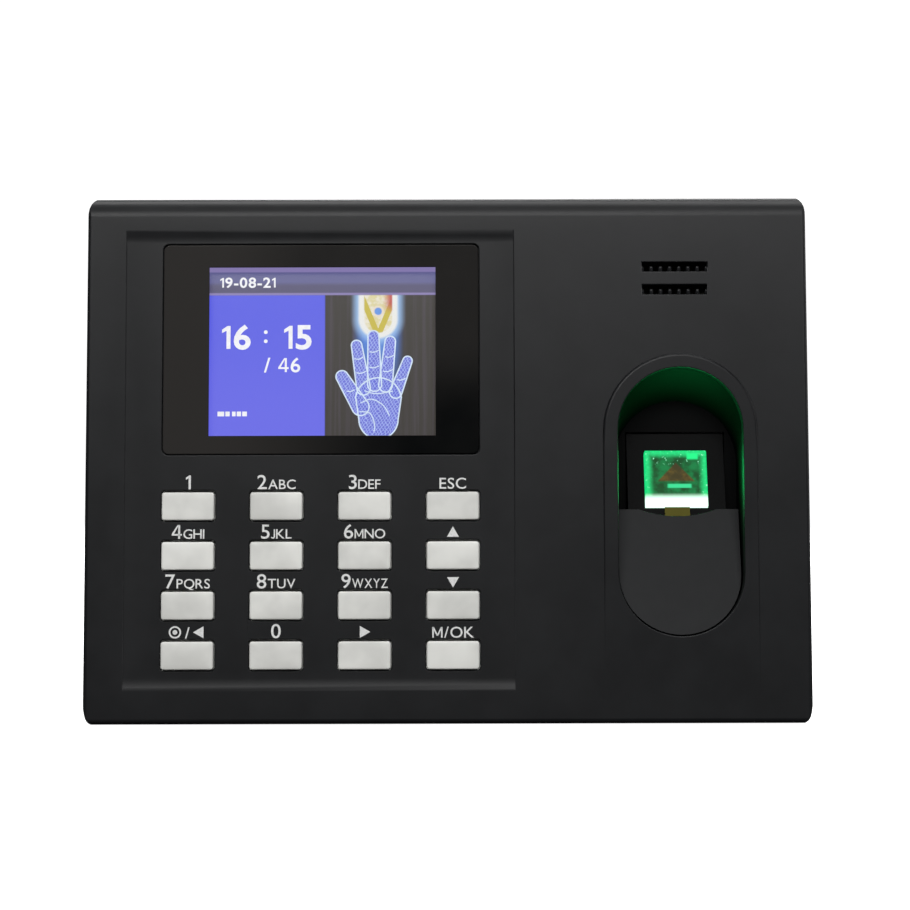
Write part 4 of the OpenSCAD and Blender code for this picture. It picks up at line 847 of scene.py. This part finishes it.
def prismPaint():
    paint = Paint("prismLit", Base_Color=(0.004, 0.02, 0.01), Roughness=0.3, Specular_IOR_Level=0.03,
                  Emission_Strength=prism["strength"])
    place = paint.add("ShaderNodeTexCoord", out="UV")
    u, v, _ = paint.axes(place)
    cloud = paint.noise(0.22, 3.0, 0.6, vector=place)
    fine = paint.noise(0.06, 2.0, 0.6, vector=place)
    inside = paint.mix(cloud.ease(0.35, 0.65), tint(2, 66, 20), tint(4, 124, 62))
    # painted light: the LED's light through the prism is painted as emission; the brighter sides and top are painted
    # highlights and the pale spots near them painted glints
    side = abs(u - 0.5).ease(0.5 - 2 * prism["edge"], 0.5 - prism["edge"] * 0.4)
    top = v.ease(0.84, 0.96)
    border = (side.high(top) * (0.45 + fine * 0.9)).low(1.0)
    colour = paint.mix(border, inside, tint(30, 232, 132))
    spots = fine.ease(0.62, 0.7) * (side.high(v.ease(0.72, 0.8)))
    colour = paint.mix(spots, colour, tint(150, 255, 200))
    colour = paint.mix(within(u, 0.68, 0.86, 0.02) * within(v, 0.84, 0.95, 0.02), colour, tint(26, 250, 140))
    # triangle: under both sloping sides and above its base
    peak = 0.78 - abs(u - 0.5) * 1.12
    inTriangle = v.ease(0.43, 0.47) * (1 - (v - peak).ease(-0.02, 0.02))
    colour = paint.mix(inTriangle, colour, paint.mix(cloud.ease(0.4, 0.7), tint(62, 44, 6), tint(104, 78, 16)))
    dash = within(u, 0.36, 0.74, 0.02) * within(v, 0.33, 0.4, 0.012)
    colour = paint.mix(dash, colour, tint(56, 226, 150))
    # painted light: a near-white band along the bottom, where the LED's light is strongest
    band = 1 - v.ease(0.12, 0.25)
    colour = paint.add("ShaderNodeMix", dict(data_type="RGBA", blend_type="MULTIPLY"),
                       {0: 1.0, 6: colour, 7: 1 / prism["strength"]}, out=2)
    paint.feed("Emission Color", paint.mix(band, colour, tint(214, 255, 230)))
    return paint.material


def litPrism():
    node = nodes["sensor_prism"]
    shape = bmesh.new()
    shape.from_mesh(node.data)
    bmesh.ops.remove_doubles(shape, verts=shape.verts, dist=0.003 * mm)
    bmesh.ops.dissolve_limit(shape, angle_limit=math.radians(0.4), verts=shape.verts, edges=shape.edges)
    front = max(shape.faces, key=lambda f: f.calc_area() * max(f.normal.dot(Vector((0, -0.6, 0.8))), 0))
    normal = np.array(front.normal)
    corners = np.array([v.co for v in front.verts])
    up = np.cross(normal, across)
    up *= np.sign(up[2])
    a, b = corners @ across, corners @ up
    bmesh.ops.bevel(shape, geom=shape.edges[:], offset=prism["roll"], segments=2, affect="EDGES", profile=0.5)
    mesh = bpy.data.meshes.new("litPrism")
    shape.to_mesh(mesh)
    shape.free()
    points = np.empty(len(mesh.vertices) * 3)
    mesh.vertices.foreach_get("co", points)
    points = points.reshape(-1, 3)
    loops = np.zeros(len(mesh.loops), np.int32)
    mesh.loops.foreach_get("vertex_index", loops)
    uv = np.stack([(points @ across - a.min()) / np.ptp(a), (points @ up - b.min()) / np.ptp(b)], -1)
    mesh.uv_layers.new(name="UVMap").data.foreach_set("uv", uv[loops].astype(np.float32).ravel())
    mesh.materials.append(prismPaint())
    piece = bpy.data.objects.new("litPrism", mesh)
    bpy.context.scene.collection.objects.link(piece)
    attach(piece, node["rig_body"])
    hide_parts("sensor_prism")
    return corners.mean(0), normal


def greenGlow(middle, normal):
    # the prism's light on the walls of the niche, from a lamp that the camera doesn't see
    lamp = bpy.data.lights.new("greenGlow", "AREA")
    lamp.shape, lamp.size, lamp.size_y = "RECTANGLE", prism["lampW"], prism["lampH"]
    lamp.energy, lamp.color = prism["glow"], (0.02, 1.0, 0.22)
    item = bpy.data.objects.new("greenGlow", lamp)
    item.location = middle + normal * prism["lampGap"]
    item.rotation_euler = Vector(normal).to_track_quat("-Z", "Y").to_euler()
    item.visible_camera = False
    bpy.context.scene.collection.objects.link(item)


greenGlow(*litPrism())
print("stage: prism made")

# ---- floor, light, camera ----
stageLook = dict(floorGap=0.3 * mm, reach=3.0, depth=1.6, curve=0.9, shown=0.86, lift=0.94, unseen=0.05)


def cameraRays(tree):
    rays = tree.nodes.new("ShaderNodeLightPath")
    return rays.outputs["Is Camera Ray"]


def backdrop():
    # a floor that runs back and rolls up into a wall on a quarter circle
    drop = cadBox[0].z - stageLook["floorGap"]
    a = np.linspace(0, math.pi / 2, 24)
    r = stageLook["curve"]
    y = np.concatenate([[-stageLook["reach"]], stageLook["depth"] + r * np.sin(a), [stageLook["depth"] + r]])
    z = np.concatenate([[drop], drop + r * (1 - np.cos(a)), [drop + stageLook["reach"]]])
    x = np.array([-stageLook["reach"], stageLook["reach"]])
    points = np.stack(np.broadcast_arrays(x[None, :], y[:, None], z[:, None]), -1)
    # pale to the camera, darker to the object, so that the paper doesn't wash the dark case out
    paint = Paint("paleFloor", Roughness=0.9, Specular_IOR_Level=0.0, Emission_Color=(1, 1, 1))
    seen = Wire(paint, cameraRays(paint.tree))
    tone, dim = stageLook["shown"], stageLook["unseen"]
    paint.feed("Base Color", paint.mix(seen, (dim, dim, dim), (tone, tone, tone)))
    lit = stageLook["lift"]
    paint.feed("Emission Strength", 1.0)
    paint.feed("Emission Color", paint.mix(seen, (0.0, 0.0, 0.0), (lit, lit, lit)))
    mesh = bpy.data.meshes.new("floor")
    mesh.from_pydata(points.reshape(-1, 3).tolist(), [], bandFaces(len(y), 2, closed=False).tolist())
    mesh.polygons.foreach_set("use_smooth", np.full(len(mesh.polygons), True))
    mesh.materials.append(paint.material)
    floor = bpy.data.objects.new("floor", mesh)
    bpy.context.scene.collection.objects.link(floor)


def softbox(name, at, aim, size, power, spread=180):
    lamp = bpy.data.lights.new(name, "AREA")
    lamp.shape, lamp.size, lamp.size_y = "RECTANGLE", size[0], size[1]
    lamp.energy, lamp.spread = power, math.radians(spread)
    item = bpy.data.objects.new(name, lamp)
    item.location = at
    item.rotation_euler = (Vector(aim) - Vector(at)).to_track_quat("-Z", "Y").to_euler()
    bpy.context.scene.collection.objects.link(item)


backdrop()
softbox("frontLight", (-0.04, -1.0, 0.65), (0, 0, 0), (0.95, 0.3), 12.8)
softbox("topLight", (0.05, 0.12, 0.9), (0, 0, 0), (0.9, 0.4), 6)
softbox("rearLight", (0.35, 1.05, 0.55), (0, 0, 0), (1.0, 0.7), 16)
softbox("sideLight", (1.2, 0.1, 0.35), (0, 0, 0), (0.7, 0.7), 5)
world = bpy.data.worlds.new("studio")
world.use_nodes = True
sky = world.node_tree.nodes["Background"]
level = world.node_tree.nodes.new("ShaderNodeMapRange")
level.inputs["To Min"].default_value, level.inputs["To Max"].default_value = 0.07, 1.0
world.node_tree.links.new(cameraRays(world.node_tree), level.inputs["Value"])
world.node_tree.links.new(level.outputs["Result"], sky.inputs["Strength"])
sky.inputs["Color"].default_value = (1, 1, 1, 1)
bpy.context.scene.world = world
bpy.context.scene.view_settings.view_transform = "Standard"

view = dict(lens=84.3, away=0.538, right=1.96 * mm, above=0.75 * mm, roll=0.15)
camera = bpy.data.objects.new("camera", bpy.data.cameras.new("camera"))
camera.data.lens, camera.data.sensor_width = view["lens"], 36
camera.location = (view["right"], faceY - view["away"], view["above"])
camera.rotation_euler = (math.pi / 2, math.radians(view["roll"]), 0)
bpy.context.scene.collection.objects.link(camera)
bpy.context.scene.camera = camera
